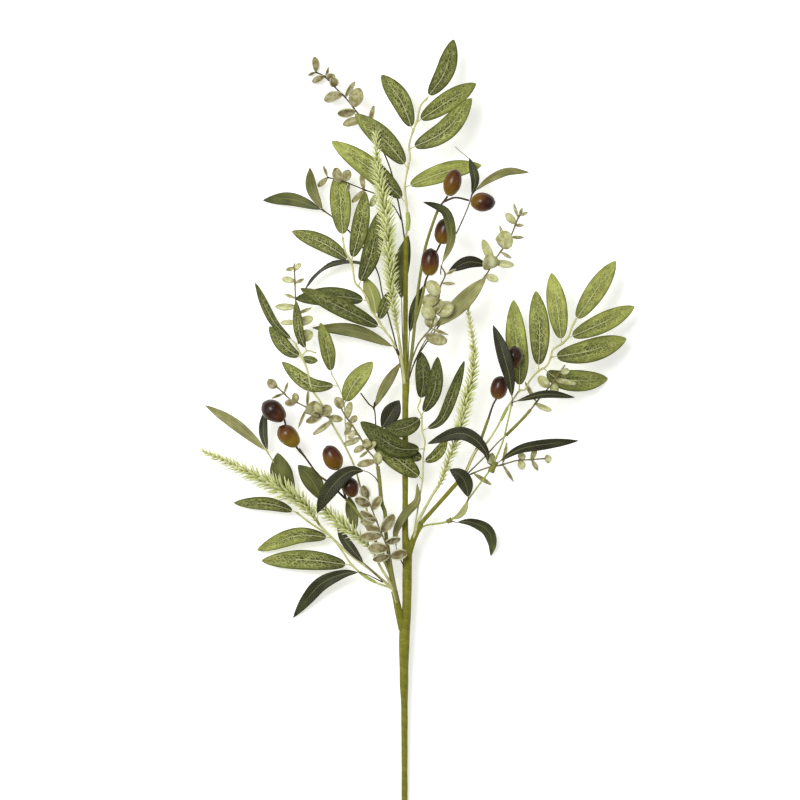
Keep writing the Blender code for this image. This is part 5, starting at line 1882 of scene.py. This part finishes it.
@dataclass
class Studio:
    """Pale floor, soft light and the camera that looks straight down."""

    floor_size: float = 12.0
    camera_height: float = 4.035
    lens: float = 200.0
    aim: tuple[float, float] = (-0.0164, 0.0328)
    far_clip: float = 40.0
    look_at: Point = (0.0, 0.0, 0.03)
    room_light: float = 0.27
    paper: tuple = ((0.93, 0.93, 0.93), (0.96, 0.96, 0.96))
    paper_glow: float = 0.42
    lights: tuple = (
        ("key", (-0.85, 0.7, 2.3), 1.1, 44.0),
        ("left_bank", (-2.2, -0.3, 1.7), 1.8, 8.5),
        ("right_bank", (2.2, 0.3, 1.7), 1.8, 6.0),
        ("far_bank", (0.2, 2.2, 1.7), 1.8, 7.0),
        ("near_bank", (-0.2, -2.2, 1.7), 1.8, 5.0))

    def build(self) -> None:
        """Set the whole stage."""
        self.lay_floor()
        self.hang_lights()
        self.place_camera()
        view = bpy.context.scene.view_settings
        view.view_transform = "Standard"
        view.look = "None"

    def lay_floor(self) -> None:
        """A plain matt floor, almost white."""
        bm = bmesh.new()
        bmesh.ops.create_grid(bm, x_segments=2, y_segments=2, size=0.5 * self.floor_size)
        mesh = bpy.data.meshes.new("floor")
        bm.to_mesh(mesh)
        bm.free()
        material, graph, shader = new_material("floor_paper")
        fibre = graph.noise(graph.place(), 90.0, 3.0)
        for name, value in (("Base Color", graph.mix(fibre, *self.paper)), ("Roughness", 0.9),
                            ("Specular IOR Level", 0.1), ("Emission Color", (1.0, 1.0, 1.0)),
                            ("Emission Strength", self.paper_glow)):
            graph.feed(shader.inputs[name], value)
        mesh.materials.append(material)
        put("floor", mesh)

    def hang_lights(self) -> None:
        """A ring of soft side panels, a smaller key for the shine in the olives, a bright room."""
        for name, spot, size, power in self.lights:
            light = bpy.data.lights.new(name, "AREA")
            light.shape = "SQUARE"
            light.size = size
            light.energy = power
            lamp = put(name, light)
            lamp.location = spot
            aim = Vector(self.look_at) - Vector(spot)
            lamp.rotation_euler = aim.to_track_quat("-Z", "Y").to_euler()
        world = bpy.data.worlds.new("bright_room")
        world.use_nodes = True
        background = world.node_tree.nodes["Background"]
        background.inputs["Color"].default_value = (1.0, 1.0, 1.0, 1.0)
        background.inputs["Strength"].default_value = self.room_light
        bpy.context.scene.world = world

    def place_camera(self) -> None:
        """A long lens straight above the spray, the stem pointing down the picture."""
        camera = bpy.data.cameras.new("camera")
        camera.lens = self.lens
        camera.clip_end = self.far_clip
        eye = put("camera", camera)
        eye.location = (*self.aim, self.camera_height)
        bpy.context.scene.camera = eye


def eucalyptus_leaves(name: str, rows: Iterable[tuple]) -> tuple:
    """Give every small leaf of a eucalyptus sprig its tone.

    Args:
        name: The sprig.
        rows: Width, base and tip of each leaf.

    Returns:
        Rows of width, roll, tone and points.
    """
    chance = random.Random(name)
    found = []
    for width, base, tip in rows:
        tone = EUCALYPTUS_TONES[name] + chance.uniform(-0.16, 0.16)
        tone -= 0.3 if width < THIN_LEAF else 0.0
        middle = tuple(0.5 * (a + b) for a, b in zip(base, tip))
        found.append((width, chance.uniform(-24.0, 24.0), (tone - 0.1, tone + 0.08),
                      (base, middle, tip)))
    return tuple(found)


def spray_parts(bench: Bench) -> list[Any]:
    """Every sub-assembly of the spray in building order.

    Args:
        bench: Places drawing points in the frame.

    Returns:
        The sub-assemblies.
    """
    parts: list[Any] = [TapedStem(bench)]
    for name, spec in SPRIGS.items():
        shape = LeafShape.VEINED if spec["slot"] == "veined_leaf" else LeafShape.OLIVE
        parts.append(LeafyTwig(bench, name, spec["slot"], shape, spec["twigs"], spec["leaves"]))
    for name, (twigs, leaves) in WIRED_LEAVES.items():
        parts.append(LeafyTwig(bench, name, "dark_leaf", LeafShape.OLIVE, twigs, leaves))
    for name, twigs in FRUIT_STEMS.items():
        parts.append(LeafyTwig(bench, name, "brown_twig", LeafShape.OLIVE, twigs, ()))
    for name, row in {**DARK_LEAVES, **RIGHT_LEAVES}.items():
        parts.append(LooseLeaf(bench, name, row))
    for name, row in OLIVES.items():
        parts.append(Olive(bench, name, *row))
    for name, (twigs, rows) in EUCALYPTUS.items():
        parts.append(LeafyTwig(bench, name, "eucalyptus", LeafShape.ROUND, twigs,
                               eucalyptus_leaves(name, rows), ROUND_WALL, False))
    for name, points in PLUMES.items():
        parts.append(Plume(bench, name, points))
    parts.extend(Band(bench, row) for row in BANDS)
    return parts


def main() -> None:
    """Build the finished spray and its stage."""
    logging.basicConfig(level=logging.INFO, format="%(message)s")
    bench = Bench.from_fruit(BENCH_FRUIT, BENCH_CENTRE)
    finishes = Wardrobe(SharedEffects())
    for part in spray_parts(bench):
        part.build(finishes)
    Studio().build()


if __name__ == "__main__":
    main()
